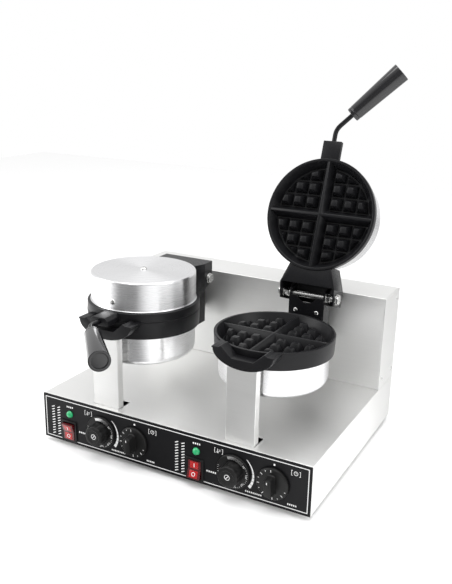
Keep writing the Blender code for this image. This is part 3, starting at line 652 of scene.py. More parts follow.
# %% [markdown]
# ## Parts kept from the frame
# Most of the machine's insides and its plain bars are right as they are, and only need their finish.

# %% Finish every CAD node by its slot
for name, node in NODES.items():
    if not node.material_slots:
        node.data.materials.append(None)
    for place in node.material_slots:
        place.material = FINISH[SLOT_OF[name]]
print("finished", len(NODES), "CAD nodes")

# %% [markdown]
# ## Sheets, folded channels and brackets
# The base, the riser, the legs and the hinge brackets are bent from sheet. Their shape is right in the
# frame, but a fold is never a knife edge: each is copied, and its edges get a fraction of a
# millimetre of round, which draws the thin bright line that one sees along every fold. The flat faces
# stay flat in the shading, so that the round does not lean into them.

# %% Rounded copies of the sheet parts
FACES_SQUARE = 0.9995
BODY_OF = {
    node: body for body, nodes in frame["record"]["behaviour"]["bodies"].items() for node in nodes
}
FOLD_ROUND = {
    "base_cover": 0.0007,
    "control_panel": 0.0004,
    "riser_cover": 0.0007,
    "riser_end_left": 0.0005,
    "riser_end_right": 0.0005,
    "rear_panel": 0.0004,
    "bottom_plate": 0.0005,
    "terminal_block": 0.0005,
}
for side in SIDES:
    FOLD_ROUND[f"{side}_support_leg"] = 0.0007
    FOLD_ROUND[f"{side}_lower_bracket"] = 0.0008
    FOLD_ROUND[f"{side}_upper_bracket"] = 0.0008
    FOLD_ROUND[f"{side}_rear_arm"] = 0.0010
    FOLD_ROUND[f"{side}_switch_body"] = 0.0006
    FOLD_ROUND[f"{side}_switch_rocker"] = 0.0005
for node, width in FOLD_ROUND.items():
    copy = eased(welded(NODES[node].data), width)
    sheet = add_piece(f"{node}_folded", copy, BODY_OF[node], SLOT_OF[node], replaces=(node,))
    for face in sheet.data.polygons:
        if max(abs(part) for part in face.normal) > FACES_SQUARE:
            face.use_smooth = False
print("rounded the edges of", len(FOLD_ROUND), "sheets and bars")

# %% [markdown]
# ## Bowls and lids
# Both are spun from sheet and polished. The bowl hides the lower heater and the lid the upper one. The
# profile is drawn once and turned in 128 steps, with its corners as short curves.

# %% Corners as curves


def rounded(corners, radius, steps=4):
    """An outline with each corner as a short curve. Corners on the axis stay as they are."""
    smooth = []
    for index, corner in enumerate(corners):
        if corner[0] == 0:
            smooth.append(corner)
            continue
        here = Vector(corner)
        before = Vector(corners[index - 1]) - here
        after = Vector(corners[(index + 1) % len(corners)]) - here
        start = here + before.normalized() * min(radius, before.length * 0.45)
        end = here + after.normalized() * min(radius, after.length * 0.45)
        smooth += [(point.x, point.y) for point in bend(start, here, end, steps)]
    return smooth


# %% Bowl and lid
BOWL_CORNER = 0.012
LID_CORNER = 0.0035


def bowl():
    low, rim, wide = BOWL_BOTTOM, BOWL_TOP, BOWL_RADIUS
    outer = arc((wide - BOWL_CORNER, low + BOWL_CORNER), BOWL_CORNER, -90, 0, 12)
    inner = arc((wide - BOWL_CORNER, low + BOWL_CORNER), BOWL_CORNER - SHEET, 0, -90, 12)
    lip = [(wide, rim - 0.0004), (wide - 0.0004, rim), (wide - SHEET, rim)]
    return turned([(0, low), *outer, *lip, *inner, (0, low + SHEET)])


def lid():
    """Straight wall, a small round at the top, and a rolled rim that rests on the ring."""
    wide, rim, top = LID_RADIUS, LID_RIM, LID_TOP
    corner = (wide - LID_CORNER, top - LID_CORNER)
    outer = arc(corner, LID_CORNER, 0, 90, 8)
    inner = arc(corner, LID_CORNER - SHEET, 90, 0, 8)
    roll = arc((LID_FLANGE - 0.0008, rim + 0.0008), 0.0008, -90, 90, 8)
    foot_of_wall = arc((wide + 0.0006, rim + 0.0022), 0.0006, -90, -180, 4)
    hole = 0.0028
    return turned(
        [(hole, top - SHEET), *inner, (wide - SHEET, rim), *roll, *foot_of_wall, *outer, (hole, top)]
    )


bowl_mesh, lid_mesh = bowl(), lid()
on_bases("bowl", bowl_mesh, "chrome", "lower_shell")
on_lids("lid_cover", lid_mesh, "chrome", "lid_shell")
print("bowls and lids:", len(bowl_mesh.polygons), "and", len(lid_mesh.polygons), "faces")

# %% [markdown]
# ## The waffle pegs
# Each plate has four quadrants of square pegs that taper, so that the waffle lets go. A field of equal
# pegs is what Geometry Nodes are for: a grid gives the points, the middle rows are pushed apart to
# leave room for the ribs, and one tapered peg is placed on every point. The round edge of the field is
# then cut with a cone, since the mould's outer wall slopes like the sides of the pegs.

# %% Peg sizes
PEG_PITCH = 0.024
PEG_BASE = 0.0215
PEG_TIP = 0.010
PEG_HEIGHT = 0.0155
PEG_CIRCLE = 0.081
RIB_BASE = 0.020
RIB_TIP = 0.0040
RIB_HEIGHT = 0.0165
FLOOR_RADIUS = 0.0835
WELL_RADIUS = 0.0928
FIRST_PEG = (RIB_BASE + PEG_PITCH) / 2
SUNK = 0.0015
EDGE_ROUND = 0.0006

# %% Helpers for node trees


class Tree:
    """A Geometry Nodes tree with named inputs."""

    def __init__(self, name, inputs):
        self.group = bpy.data.node_groups.new(name, "GeometryNodeTree")
        self.group.is_modifier = True
        self.group.interface.new_socket("Geometry", in_out="INPUT", socket_type="NodeSocketGeometry")
        self.group.interface.new_socket("Geometry", in_out="OUTPUT", socket_type="NodeSocketGeometry")
        for label, kind in inputs.items():
            self.group.interface.new_socket(label, in_out="INPUT", socket_type=f"NodeSocket{kind}")
        self.given = self.group.nodes.new("NodeGroupInput").outputs
        self.result = self.group.nodes.new("NodeGroupOutput").inputs["Geometry"]

    def add(self, kind, inputs=None, **settings):
        return add_node(self.group, kind, inputs, **settings)

    def sum(self, operation, first, second=0.0):
        return self.add("ShaderNodeMath", {0: first, 1: second}, operation=operation).outputs[0]

    def close(self, points, instance, **inputs):
        """Ends the tree: a copy of the instance on every point, as real geometry with its finish."""
        inputs |= {"Points": points, "Instance": instance}
        placed = self.add("GeometryNodeInstanceOnPoints", inputs).outputs["Instances"]
        real = self.add("GeometryNodeRealizeInstances", {"Geometry": placed}).outputs["Geometry"]
        inputs = {"Geometry": real, "Material": self.given["Finish"]}
        painted = self.add("GeometryNodeSetMaterial", inputs)
        self.group.links.new(painted.outputs["Geometry"], self.result)
        return self.group


def grown(group, start=None, **settings):
    """The plain mesh that a tree makes from a starting mesh. Inputs are set before it first runs."""
    host = new_object("helper", start or bpy.data.meshes.new("start"))
    step = host.modifiers.new("grow", "NODES")
    step.node_group = group
    for item in group.interface.items_tree:
        key = item.name.replace(" ", "_").lower()
        if item.item_type == "SOCKET" and item.in_out == "INPUT" and key in settings:
            step[item.identifier] = settings[key]
    return evaluated(host)


# %% The peg field tree


def peg_tree():
    floats = ("Pitch", "First peg", "Foot width", "Tip width", "Height")
    tree = Tree("waffle_pegs", {**dict.fromkeys(floats, "Float"), "Finish": "Material"})
    given = tree.given
    length = tree.sum("MULTIPLY", given["Pitch"], 5)
    inputs = {"Size X": length, "Size Y": length, "Vertices X": 6, "Vertices Y": 6}
    grid = tree.add("GeometryNodeMeshGrid", inputs)
    spot = tree.add("ShaderNodeSeparateXYZ", {0: tree.add("GeometryNodeInputPosition").outputs[0]})
    extra = tree.sum("SUBTRACT", given["First peg"], tree.sum("MULTIPLY", given["Pitch"], 0.5))
    apart = [tree.sum("MULTIPLY", tree.sum("SIGN", spot.outputs[axis]), extra) for axis in ("X", "Y")]
    offset = tree.add("ShaderNodeCombineXYZ", {"X": apart[0], "Y": apart[1]}).outputs[0]
    points = tree.add("GeometryNodeSetPosition", {"Geometry": grid.outputs["Mesh"], "Offset": offset})
    corner = 1 / math.sqrt(2)
    inputs = {
        "Vertices": 4,
        "Radius Top": tree.sum("MULTIPLY", given["Tip width"], corner),
        "Radius Bottom": tree.sum("MULTIPLY", given["Foot width"], corner),
        "Depth": given["Height"],
    }
    peg = tree.add("GeometryNodeMeshCone", inputs).outputs["Mesh"]
    square = tree.add("GeometryNodeTransform", {"Geometry": peg, "Rotation": (0, 0, math.radians(45))})
    return tree.close(points.outputs["Geometry"], square.outputs["Geometry"])


# %% Pegs, cut round and eased


def widened(base, tip, height):
    """How wide a tapered peg or rib is where it sinks into the floor."""
    return base + (base - tip) * SUNK / height


def cone_room(low_radius, high_radius, height):
    """A cone from a little under the floor to a little over the tips."""
    slope = (high_radius - low_radius) / height
    low, high = -0.003, height + 0.002
    low_edge, high_edge = low_radius + slope * low, low_radius + slope * high
    return turned([(0, low), (low_edge, low), (high_edge, high), (0, high)], 96)


raw_pegs = grown(
    peg_tree(),
    pitch=PEG_PITCH,
    first_peg=FIRST_PEG,
    foot_width=widened(PEG_BASE, PEG_TIP, PEG_HEIGHT),
    tip_width=PEG_TIP,
    height=PEG_HEIGHT + SUNK,
    finish=FINISH["cast_plate"],
)
raw_pegs.transform(shift(0, 0, -SUNK))
field_room = cone_room(PEG_CIRCLE, PEG_CIRCLE - (PEG_BASE - PEG_TIP) / 2, PEG_HEIGHT)
clipped = carved(raw_pegs, field_room, operation="INTERSECT")
pegs = eased(welded(clipped, 0.0004), EDGE_ROUND, 2, clamp=False)
print("pegs:", len(pegs.polygons), "faces")

# %% The two ribs
rib_half = widened(RIB_BASE, RIB_TIP, RIB_HEIGHT) / 2
rib_outline = [(-rib_half, -SUNK), (rib_half, -SUNK), (RIB_TIP / 2, RIB_HEIGHT), (-RIB_TIP / 2, RIB_HEIGHT)]
rib_x, rib_y = (prism(rib_outline, -WELL_RADIUS, WELL_RADIUS, axis) for axis in ("X", "Y"))
crossed = carved(rib_x, rib_y, operation="UNION")
inside = cone_room(FLOOR_RADIUS + 0.0010, WELL_RADIUS - 0.0005, RIB_HEIGHT)
ribs = eased(welded(carved(crossed, inside, operation="INTERSECT"), 0.0002), EDGE_ROUND, 2, clamp=False)
waffle_field = together(pegs, ribs)
print("ribs:", len(ribs.polygons), "faces")

# %% [markdown]
# ## The cast plates
# Both plates are castings. The lower one is a ring with a sloping inner wall, a cradle in front that
# rests on the leg, and a lug behind that bolts to the hinge. The upper one faces down and carries the
# handle's neck. The rings are turned, the cradle and the neck are outlines pushed along Y, and
# booleans clear the waffle well out of them.

# %% The lower plate
LOWER_FLOOR = 0.2083
PLATE_THICKNESS = 0.006
CRADLE_BOTTOM = 0.2005
CRADLE_HALF = 0.050
CRADLE_DROP = 0.027
HEAD_Y = head_place("left").translation.y
CRADLE_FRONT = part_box("left_support_leg")[0].y - HEAD_Y
BRACKET_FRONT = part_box("left_lower_bracket")[0].y - HEAD_Y


def cradle():
    under = [
        (CRADLE_HALF * math.sin(a), CRADLE_BOTTOM + CRADLE_DROP * (1 - math.cos(a)))
        for a in (math.radians(90 * step / 20) for step in range(21))
    ]
    trough = [(0.041, 0.2300), (0.037, 0.2325), (0.035, 0.2320), (0.018, 0.2165)]
    outline = mirrored([*under, (0.052, RING_TOP), (0.052, 0.2300), *trough])
    solid = eased(prism(outline, CRADLE_FRONT, -0.070, "Y"), 0.0009, 3)
    top = WELL_RADIUS + 0.0025
    low = LOWER_FLOOR - 0.002
    well = turned([(0, low), (FLOOR_RADIUS + 0.004, low), (top, RING_TOP), (top, 0.24), (0, 0.24)])
    lid_room = cylinder(RING_RADIUS + 0.0005, RING_TOP, 0.3)
    return carved(solid, lid_room, well, cylinder(BOWL_RADIUS - 0.007, 0.1, 0.206))


def lower_ring():
    under = LOWER_FLOOR - PLATE_THICKNESS
    skirt = BOWL_RADIUS - 0.009
    profile = [
        (0, under),
        (skirt, under),
        (skirt, RING_BOTTOM),
        (RING_RADIUS - 0.0013, RING_BOTTOM),
        (RING_RADIUS, RING_TOP),
        (WELL_RADIUS, RING_TOP),
        (FLOOR_RADIUS, LOWER_FLOOR),
        (0, LOWER_FLOOR),
    ]
    return turned(rounded(profile, 0.0009))


lug = eased(block((-0.025, 0.0915, CRADLE_BOTTOM), (0.025, BRACKET_FRONT - GAP, 0.215)), 0.0008)
lower_plate = together(lower_ring(), cradle(), lug, moved(waffle_field, shift(0, 0, LOWER_FLOOR)))
on_bases("lower_casting", lower_plate, "cast_plate", "lower_plate")
print("lower plate:", len(lower_plate.polygons), "faces")

# %% The upper plate
UPPER_FLOOR = 0.2455
NECK_FRONT = -0.1277
NECK_WIDTH = 0.033
HANDLE_HEIGHT = 0.2352


def upper_ring():
    back = UPPER_FLOOR + PLATE_THICKNESS
    drum = LID_RADIUS - SHEET - 0.001
    profile = [
        (0, UPPER_FLOOR),
        (FLOOR_RADIUS, UPPER_FLOOR),
        (WELL_RADIUS, UPPER_RING_BOTTOM),
        (RING_RADIUS - GAP, UPPER_RING_BOTTOM),
        (RING_RADIUS - 0.0010, UPPER_RING_TOP),
        (drum, UPPER_RING_TOP),
        (drum, back),
        (0, back),
    ]
    return turned(rounded(profile, 0.0009))


def neck():
    half, low, chamfer = NECK_WIDTH / 2, UPPER_RING_BOTTOM + GAP, 0.005
    right = [(0, low), (half, low), (half, UPPER_RING_TOP - chamfer), (half - chamfer, UPPER_RING_TOP)]
    solid = eased(prism(mirrored(right), NECK_FRONT, -0.0945, "Y"), 0.0010, 3)
    mouth = Vector((0, NECK_FRONT - 0.01, HANDLE_HEIGHT))
    inwards = Vector((0, 0.026, 0))
    return carved(solid, moved(cylinder(0.0043, 0, inwards.length, 48), pointing(mouth, inwards)))


upside_down = shift(0, 0, UPPER_FLOOR) @ spin(180, "X")
upper_lug = eased(block((-0.022, 0.0940, 0.2336), (0.022, 0.1135, UPPER_RING_TOP)), 0.0008)
upper_plate = together(upper_ring(), neck(), upper_lug, moved(waffle_field, upside_down))
on_lids("upper_casting", upper_plate, "cast_plate", "upper_plate")
print("upper plate:", len(upper_plate.polygons), "faces")

# %% [markdown]
# ## Handles
# A black steel rod leaves the neck straight, and then bends sideways so that the hand stays clear of
# the hot head. The grip is a tapered moulding, wider at its far end, which is flat with a small round.

# %% Rod and grip
ROD_RADIUS = 0.004
BEND_REACH = 0.010
BEND_CORNER = Vector((0, -0.1497, HANDLE_HEIGHT))
GRIP_END = Vector((0.0970, -0.2527, HANDLE_HEIGHT - 0.003))
GRIP_LENGTH = 0.1058
GRIP_ALONG = (GRIP_END - BEND_CORNER).normalized()
GRIP_START = GRIP_END - GRIP_ALONG * GRIP_LENGTH


def wire(points, radius):
    """A round rod through the points, with closed ends."""
    curve = bpy.data.curves.new("rod", "CURVE")
    curve.dimensions = "3D"
    curve.bevel_depth = radius
    curve.bevel_resolution = 6
    curve.use_fill_caps = True
    spline = curve.splines.new("POLY")
    spline.points.add(len(points) - 1)
    for slot, point in zip(spline.points, points):
        slot.co = (*point, 1)
    builder = bmesh.new()
    builder.from_mesh(evaluated(new_object("rod", curve)))
    return mesh_of(builder)


def handle_rod():
    start = BEND_CORNER + Vector((0, BEND_REACH, 0))
    end = BEND_CORNER + GRIP_ALONG * BEND_REACH
    root = Vector((0, NECK_FRONT + 0.0155, HANDLE_HEIGHT))
    points = [root, *bend(start, BEND_CORNER, end, 14), GRIP_START + GRIP_ALONG * 0.030]
    return wire(points, ROD_RADIUS)


def handle_grip():
    hole, small, large = ROD_RADIUS + GAP, 0.0125, 0.0165
    length, groove = GRIP_LENGTH, 0.006
    outside = [
        (hole, 0.0320),
        (hole, 0),
        (small, 0),
        (small + 0.0003, groove),
        (small - 0.0005, groove + 0.0006),
        (small + 0.0004, groove + 0.0012),
        (large, length),
        (large - 0.0040, length),
        (large - 0.0048, length - 0.0006),
    ]
    return turned([(0, 0.0320), *rounded(outside, 0.0012), (0, length - 0.0006)], 96)


rod_mesh, grip_mesh = handle_rod(), moved(handle_grip(), pointing(GRIP_START, GRIP_ALONG))
on_lids("rod", rod_mesh, "black_steel", "handle_rod")
on_lids("grip", grip_mesh, "black_phenolic", "handle_grip")
print("handles: rod", len(rod_mesh.polygons), "faces, grip", len(grip_mesh.polygons), "faces")

# %% [markdown]
# ## The hinge bolt
# One bolt runs through both brackets of a head. Each end has a washer and a hexagon head, and a nut
# with its washers locks it against the lower bracket on either side. The lid turns on it.

# %% Hexagons, washers and the bolt
EAR_X = 0.050
PIN_RADIUS = 0.005
FLANGE_X = 0.0325


def hexagon(flats, low, high):
    """A hexagon nut or head along Z with its corners turned off at both ends."""
    corner = flats / 2 / math.cos(math.radians(30))
    solid = prism(arc((0, 0), corner, 0, 300, 5), low, high, "Z")
    edge, beyond, reach = flats / 2, 0.001, corner * 1.02
    lean = (reach - edge) / 0.0010
    rounder = turned(
        [
            (0, low - beyond),
            (edge - lean * beyond, low - beyond),
            (reach, low + 0.0010),
            (reach, high - 0.0010),
            (edge - lean * beyond, high + beyond),
            (0, high + beyond),
        ],
        60,
    )
    return eased(welded(carved(solid, rounder, operation="INTERSECT")), 0.0002)


def washer(radius, hole, low, high):
    return turned(rounded([(hole, low), (radius, low), (radius, high), (hole, high)], 0.0002, 2), 60)


def hinge_bolt():
    pivot = Vector(JOINTS["left_lid_hinge"]["pos_m"]) - head_place("left").translation
    half = [
        washer(0.0095, PIN_RADIUS - 0.0003, EAR_X + GAP, EAR_X + 0.0015),
        hexagon(0.0160, EAR_X + 0.0015, EAR_X + 0.0053),
        washer(0.0085, PIN_RADIUS - 0.0003, FLANGE_X + GAP, FLANGE_X + 0.0013),
        hexagon(0.0130, FLANGE_X + 0.0013, FLANGE_X + 0.0078),
        washer(0.0085, PIN_RADIUS - 0.0003, 0.0452, 0.0464),
    ]
    right, left = (shift(*pivot) @ spin(degrees, "Y") for degrees in (90, -90))
    pieces = [moved(cylinder(PIN_RADIUS, -EAR_X - 0.002, EAR_X + 0.002, 60), right)]
    for shape in half:
        pieces += [moved(shape, right), moved(shape, left)]
    return together(*pieces)


bolt_mesh = hinge_bolt()
on_bases("hinge_bolt", bolt_mesh, "zinc_steel", "hinge_pin")
print("hinge bolt:", len(bolt_mesh.polygons), "faces")

# %% [markdown]
# ## Screws
# Every screw is the same pan head with a cross recess, made once and placed by Geometry Nodes: a mesh
# of loose points says where, a vector on each point says which way it faces, and each head gets its own
# turn, because nobody lines screws up.

# %% One screw head
SCREW_SEED = 7


def pan_head():
    """A pan head of radius 1, standing on the plane z = 0 and facing +Z."""
    side = [(0, 0), (0.96, 0), (1.0, 0.08), (0.98, 0.22), (0.86, 0.38)]
    dome = [*side, (0.62, 0.50), (0.30, 0.56), (0, 0.57)]
    slot = [(-0.55, 0.8), (0.55, 0.8), (0.30, 0.16), (-0.30, 0.16)]
    return carved(turned(dome, 32), *(prism(slot, -0.085, 0.085, axis) for axis in ("Y", "X")))


def screw_tree():
    tree = Tree("screws", {"Head": "Object", "Radius": "Float", "Seed": "Int", "Finish": "Material"})
    given = tree.given
    head = tree.add("GeometryNodeObjectInfo", {"Object": given["Head"]})
    facing = tree.add("GeometryNodeInputNamedAttribute", {"Name": "facing"}, data_type="FLOAT_VECTOR")
    aimed = tree.add("FunctionNodeAlignRotationToVector", {"Vector": facing.outputs["Attribute"]}, axis="Z")
    chance = tree.add("FunctionNodeRandomValue", {"Seed": given["Seed"]}, data_type="FLOAT")
    inputs = {"Axis": (0, 0, 1), "Angle": tree.sum("MULTIPLY", chance.outputs[1], math.tau)}
    turn = tree.add("FunctionNodeAxisAngleToRotation", inputs)
    inputs = {"Rotation": aimed.outputs["Rotation"], "Rotate By": turn.outputs["Rotation"]}
    spun = tree.add("FunctionNodeRotateRotation", inputs, rotation_space="LOCAL").outputs["Rotation"]
    return tree.close(given["Geometry"], head.outputs["Geometry"], Rotation=spun, Scale=given["Radius"])


SCREW_HEAD = bpy.data.objects.new("screw_head", pan_head())
SCREW_TREE = screw_tree()


def screws(spots, radius):
    """Screw heads at (place, facing) pairs."""
    start = bpy.data.meshes.new("start")
    start.from_pydata([tuple(place) for place, _ in spots], [], [])
    facing = start.attributes.new("facing", "FLOAT_VECTOR", "POINT")
    for row, (_, way) in zip(facing.data, spots):
        row.vector = way
    finish = FINISH["zinc_steel"]
    return grown(SCREW_TREE, start, head=SCREW_HEAD, radius=radius, seed=SCREW_SEED, finish=finish)


# %% Screws of the base and of the heads
FORWARDS, BACKWARDS, UP, DOWN = (0, -1, 0), (0, 1, 0), (0, 0, 1), (0, 0, -1)
WEB_SCREW = (0.0194, 0.2235)
BASE_HALF = BASE_HIGH.x
base_spots = [
    ((x, REAR_FACE, UNDERSIDE + z), BACKWARDS) for x in (-0.240, 0, 0.240) for z in (0.010, 0.100, 0.242)
]
base_spots += [
    ((sign * BASE_HALF, BASE_HIGH.y - inset, UNDERSIDE + z), (sign, 0, 0))
    for sign in (-1, 1)
    for inset, z in ((0.012, 0.100), (0.012, 0.235), (0.070, 0.100))
]
base_spots += [((x, y, UNDERSIDE), DOWN) for x in (-0.236, 0, 0.236) for y in (-0.118, 0.060, 0.236)]
add_piece("base_screws", screws(base_spots, 0.0034), "base", "zinc_steel")
web_spots = [((x, BRACKET_FRONT, WEB_SCREW[1]), FORWARDS) for x in (-WEB_SCREW[0], WEB_SCREW[0])]
on_bases("web_screws", screws(web_spots, 0.0040), "zinc_steel")
on_lids("top_screw", screws([((0, 0, LID_TOP + 0.0001), UP)], 0.0060), "zinc_steel", "lid_screw")
front_spot = (0, -LID_RADIUS + 0.0002, 0.2580)
on_lids("front_screw", screws([(front_spot, FORWARDS)], 0.0050), "zinc_steel")
print("screws:", len(base_spots), "on the base and four on each head")

# %% [markdown]
# ## Feet and cord gland
# The feet are moulded rubber, hollow below round their screw. The gland is a plastic fitting with a
# hexagon against the rear panel and a domed nut that would grip the cord.

# %% Feet
FOOT_HEIGHT = UNDERSIDE


def foot():
    top, low = -GAP, -FOOT_HEIGHT
    outside = [(0.0118, top), (0.0120, top - 0.0010), (0.0097, low), (0.0058, low), (0.0050, low + 0.0045)]
    return turned([(0, top), *rounded(outside, 0.0007), (0, low + 0.0045)], 72)


foot_mesh = foot()
foot_spots = []
for corner in ("front_left", "front_right", "back_left", "back_right"):
    low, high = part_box(f"foot_{corner}")
    middle = Vector(((low.x + high.x) / 2, (low.y + high.y) / 2, UNDERSIDE))
    foot_spots.append(((middle.x, middle.y, UNDERSIDE - FOOT_HEIGHT + 0.0044), DOWN))
    add_piece(f"{corner}_foot", foot_mesh, "base", "rubber", shift(*middle), (f"foot_{corner}",))
add_piece("foot_screws", screws(foot_spots, 0.0036), "base", "zinc_steel")

# %% Cord gland
GLAND_LOW, GLAND_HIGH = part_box("cord_gland")


def gland():
    cap = rounded([(0.0103, 0.0098), (0.0100, 0.0130), (0.0075, 0.0160)], 0.0012)
    dome = turned([(0, 0.0098), *cap, (0, 0.0160)], 72)
    barrel = cylinder(0.0077, -0.012, 0.003, 72)
    hexagons = [hexagon(0.0216, GAP, 0.0052), hexagon(0.0180, 0.0050, 0.0102)]
    bore = cylinder(0.0042, -0.02, 0.02, 48)
    return together(*(carved(part, bore) for part in (dome, barrel, *hexagons)))


gland_x, gland_z = (GLAND_LOW.x + GLAND_HIGH.x) / 2, (GLAND_LOW.z + GLAND_HIGH.z) / 2
gland_place = shift(gland_x, REAR_FACE, gland_z) @ spin(-90, "X")
add_piece("gland", gland(), "base", "black_plastic", gland_place, ("cord_gland",))
print("feet and gland made")

# %% [markdown]
# ## Lamps, knobs and switches
# The lamps are small domed lenses. The thermostat has a fluted grip on a wide skirt that carries the
# scale, and the timer has a bar grip on a plain skirt with ticks. Both are mouldings, so the grips
# taper a little and end in a rounded edge. The marks are printed: they are thin solids of their own.

# %% Lamps
PRINT = 0.00012


def lens():
    dome = [(0, 0.0056), (0.0022, 0.0053), (0.0041, 0.0044), (0.0055, 0.0030), (0.0062, 0.0014)]
    return turned([*dome, (0.0064, GAP), (0.0042, GAP), (0.0042, -0.014), (0, -0.014)], 64)


lens_mesh = lens()
for side in SIDES:
    low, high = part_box(f"{side}_lamp")
    facing_out = shift((low.x + high.x) / 2, PANEL_FACE, (low.z + high.z) / 2) @ UPRIGHT
    add_piece(f"{side}_lamp_lens", lens_mesh, "base", "green_lens", facing_out, (f"{side}_lamp",))

# %% Shapes for knobs and print


def lofted(outline, levels):
    """An outline stacked at (height, scale) levels, with flat ends."""
    builder = bmesh.new()
    rings = [[builder.verts.new((x * scale, y * scale, z)) for x, y in outline] for z, scale in levels]
    builder.faces.new(rings[0])
    builder.faces.new(rings[-1])
    for low, high in zip(rings, rings[1:]):
        for index in range(len(outline)):
            after = (index + 1) % len(outline)
            builder.faces.new((low[index], low[after], high[after], high[index]))
    return mesh_of(builder)


def sector(start, end, inner, outer, steps=12):
    """Part of a ring between two angles. Each radius is given at the start and at the end."""
    rims = ([], [])
    for rim, (first, last) in zip(rims, (inner, outer)):
        for t in (step / steps for step in range(steps + 1)):
            radius, angle = first + (last - first) * t, math.radians(start + (end - start) * t)
            rim.append((radius * math.cos(angle), radius * math.sin(angle)))
    return [*rims[0], *reversed(rims[1])]


def printed(outline, low=0.0):
    """Print in the shape of an outline, standing on a height."""
    return prism(outline, low, low + PRINT, "Z")


def box_print(low, high, base=0.0):
    return printed(box_outline(low, high), base)


def ring_print(outer, inner, low=0.0):
    return turned([(inner, low), (outer, low), (outer, low + PRINT), (inner, low + PRINT)], 48)


def number(text, size, place):
    """A number as a flat mesh, with its middle at the place."""
    curve = bpy.data.curves.new("number", "FONT")
    curve.body = text
    curve.size = size
    curve.align_x, curve.align_y = "CENTER", "CENTER"
    curve.extrude = PRINT / 2
    curve.resolution_u = 3
    return moved(evaluated(new_object("number", curve)), place)


# %% Trees for ticks and rows of marks


def tick_tree():
    kinds = {"Count": "Int", "Radius": "Float", "First angle": "Float", "Spacing": "Float"}
    tree = Tree("dial_ticks", {**kinds, "Size": "Vector", "Finish": "Material"})
    given = tree.given
    line = tree.add("GeometryNodeMeshLine", {"Count": given["Count"], "Offset": (0, 0, 0)})
    index = tree.add("GeometryNodeInputIndex").outputs[0]
    angle = tree.sum("ADD", given["First angle"], tree.sum("MULTIPLY", index, given["Spacing"]))
    x, y = (tree.sum("MULTIPLY", tree.sum(way, angle), given["Radius"]) for way in ("COSINE", "SINE"))
    spot = tree.add("ShaderNodeCombineXYZ", {"X": x, "Y": y}).outputs[0]
    points = tree.add("GeometryNodeSetPosition", {"Geometry": line.outputs["Mesh"], "Position": spot})
    mark = tree.add("GeometryNodeMeshCube", {"Size": given["Size"]}).outputs["Mesh"]
    turn = tree.add("FunctionNodeAxisAngleToRotation", {"Axis": (0, 0, 1), "Angle": angle})
    return tree.close(points.outputs["Geometry"], mark, Rotation=turn.outputs["Rotation"])


def row_tree():
    kinds = {"Count": "Int", "Step": "Vector", "Size": "Vector", "Lean": "Float"}
    tree = Tree("row_of_marks", {**kinds, "Finish": "Material"})
    given = tree.given
    line = tree.add("GeometryNodeMeshLine", {"Count": given["Count"], "Offset": given["Step"]})
    mark = tree.add("GeometryNodeMeshCube", {"Size": given["Size"]}).outputs["Mesh"]
    turn = tree.add("FunctionNodeAxisAngleToRotation", {"Axis": (0, 0, 1), "Angle": given["Lean"]})
    return tree.close(line.outputs["Mesh"], mark, Rotation=turn.outputs["Rotation"])


TICK_TREE, ROW_TREE = tick_tree(), row_tree()


def ticks(count, radius, first, spacing, length, width, height):
    mesh = grown(
        TICK_TREE,
        count=count,
        radius=radius,
        first_angle=math.radians(first),
        spacing=math.radians(spacing),
        size=(length, width, PRINT),
        finish=WHITE_PRINT,
    )
    return moved(mesh, shift(0, 0, height + PRINT / 2))


def row(count, start, step, size, lean=0.0):
    mesh = grown(
        ROW_TREE,
        count=count,
        step=(*step, 0),
        size=(*size, PRINT),
        lean=math.radians(lean),
        finish=WHITE_PRINT,
    )
    return moved(mesh, shift(*start, PRINT / 2))


# %% Thermostat knobs
THERMOSTAT_SKIRT = 0.0283
THERMOSTAT_FACE = 0.0045
GRIP_RADIUS = 0.0185
GRIP_DISH = 0.0219
FLUTE_DEPTH = 0.0011
FLUTE_STEPS = 16
KNOB_LOW = 0.0008
KNOB_TOP = 0.0225
FLUTES = 9


def thermostat_knob():
    wide, top = THERMOSTAT_SKIRT, THERMOSTAT_FACE
    skirt = rounded([(wide, KNOB_LOW), (wide, 0.0030), (wide - 0.0013, top)], 0.0006)
    disc = turned([(0, KNOB_LOW), *skirt, (0, top)])
    outline = []
    for step in range(FLUTES * FLUTE_STEPS):
        angle = math.tau * step / (FLUTES * FLUTE_STEPS)
        radius = GRIP_RADIUS - FLUTE_DEPTH * (0.5 + 0.5 * math.cos(FLUTES * angle)) ** 2
        outline.append((radius * math.cos(angle), radius * math.sin(angle)))
    wall = [(0.004, 1.0), (0.0060, 0.995), (0.0190, 0.965)]
    edge = [(0.0206, 0.955), (0.0217, 0.93), (0.0223, 0.895), (KNOB_TOP, 0.85)]
    dish = [(KNOB_TOP, 0.62), (0.0220, 0.58), (GRIP_DISH, 0.30)]
    return together(disc, lofted(outline, [*wall, *edge, *dish]))


def thermostat_print():
    """A coin slot on the grip, and the numbers and ticks on the skirt."""
    low, top = THERMOSTAT_FACE, GRIP_DISH
    slot = moved(box_print((-0.0042, -0.0005), (0.0042, 0.0005), top), spin(50, "Z"))
    marks = [ring_print(0.0046, 0.0038, top), slot]
    for index, degrees in enumerate(range(38, -170, -40)):
        place = spin(degrees - 90, "Z") @ shift(0, 0.0234, low + PRINT / 2)
        marks.append(number(str(50 + 50 * index), 0.0046, place))
        marks.append(ticks(4, 0.0252, degrees - 8, -8, 0.0016, 0.0005, low))
    return together(*marks)


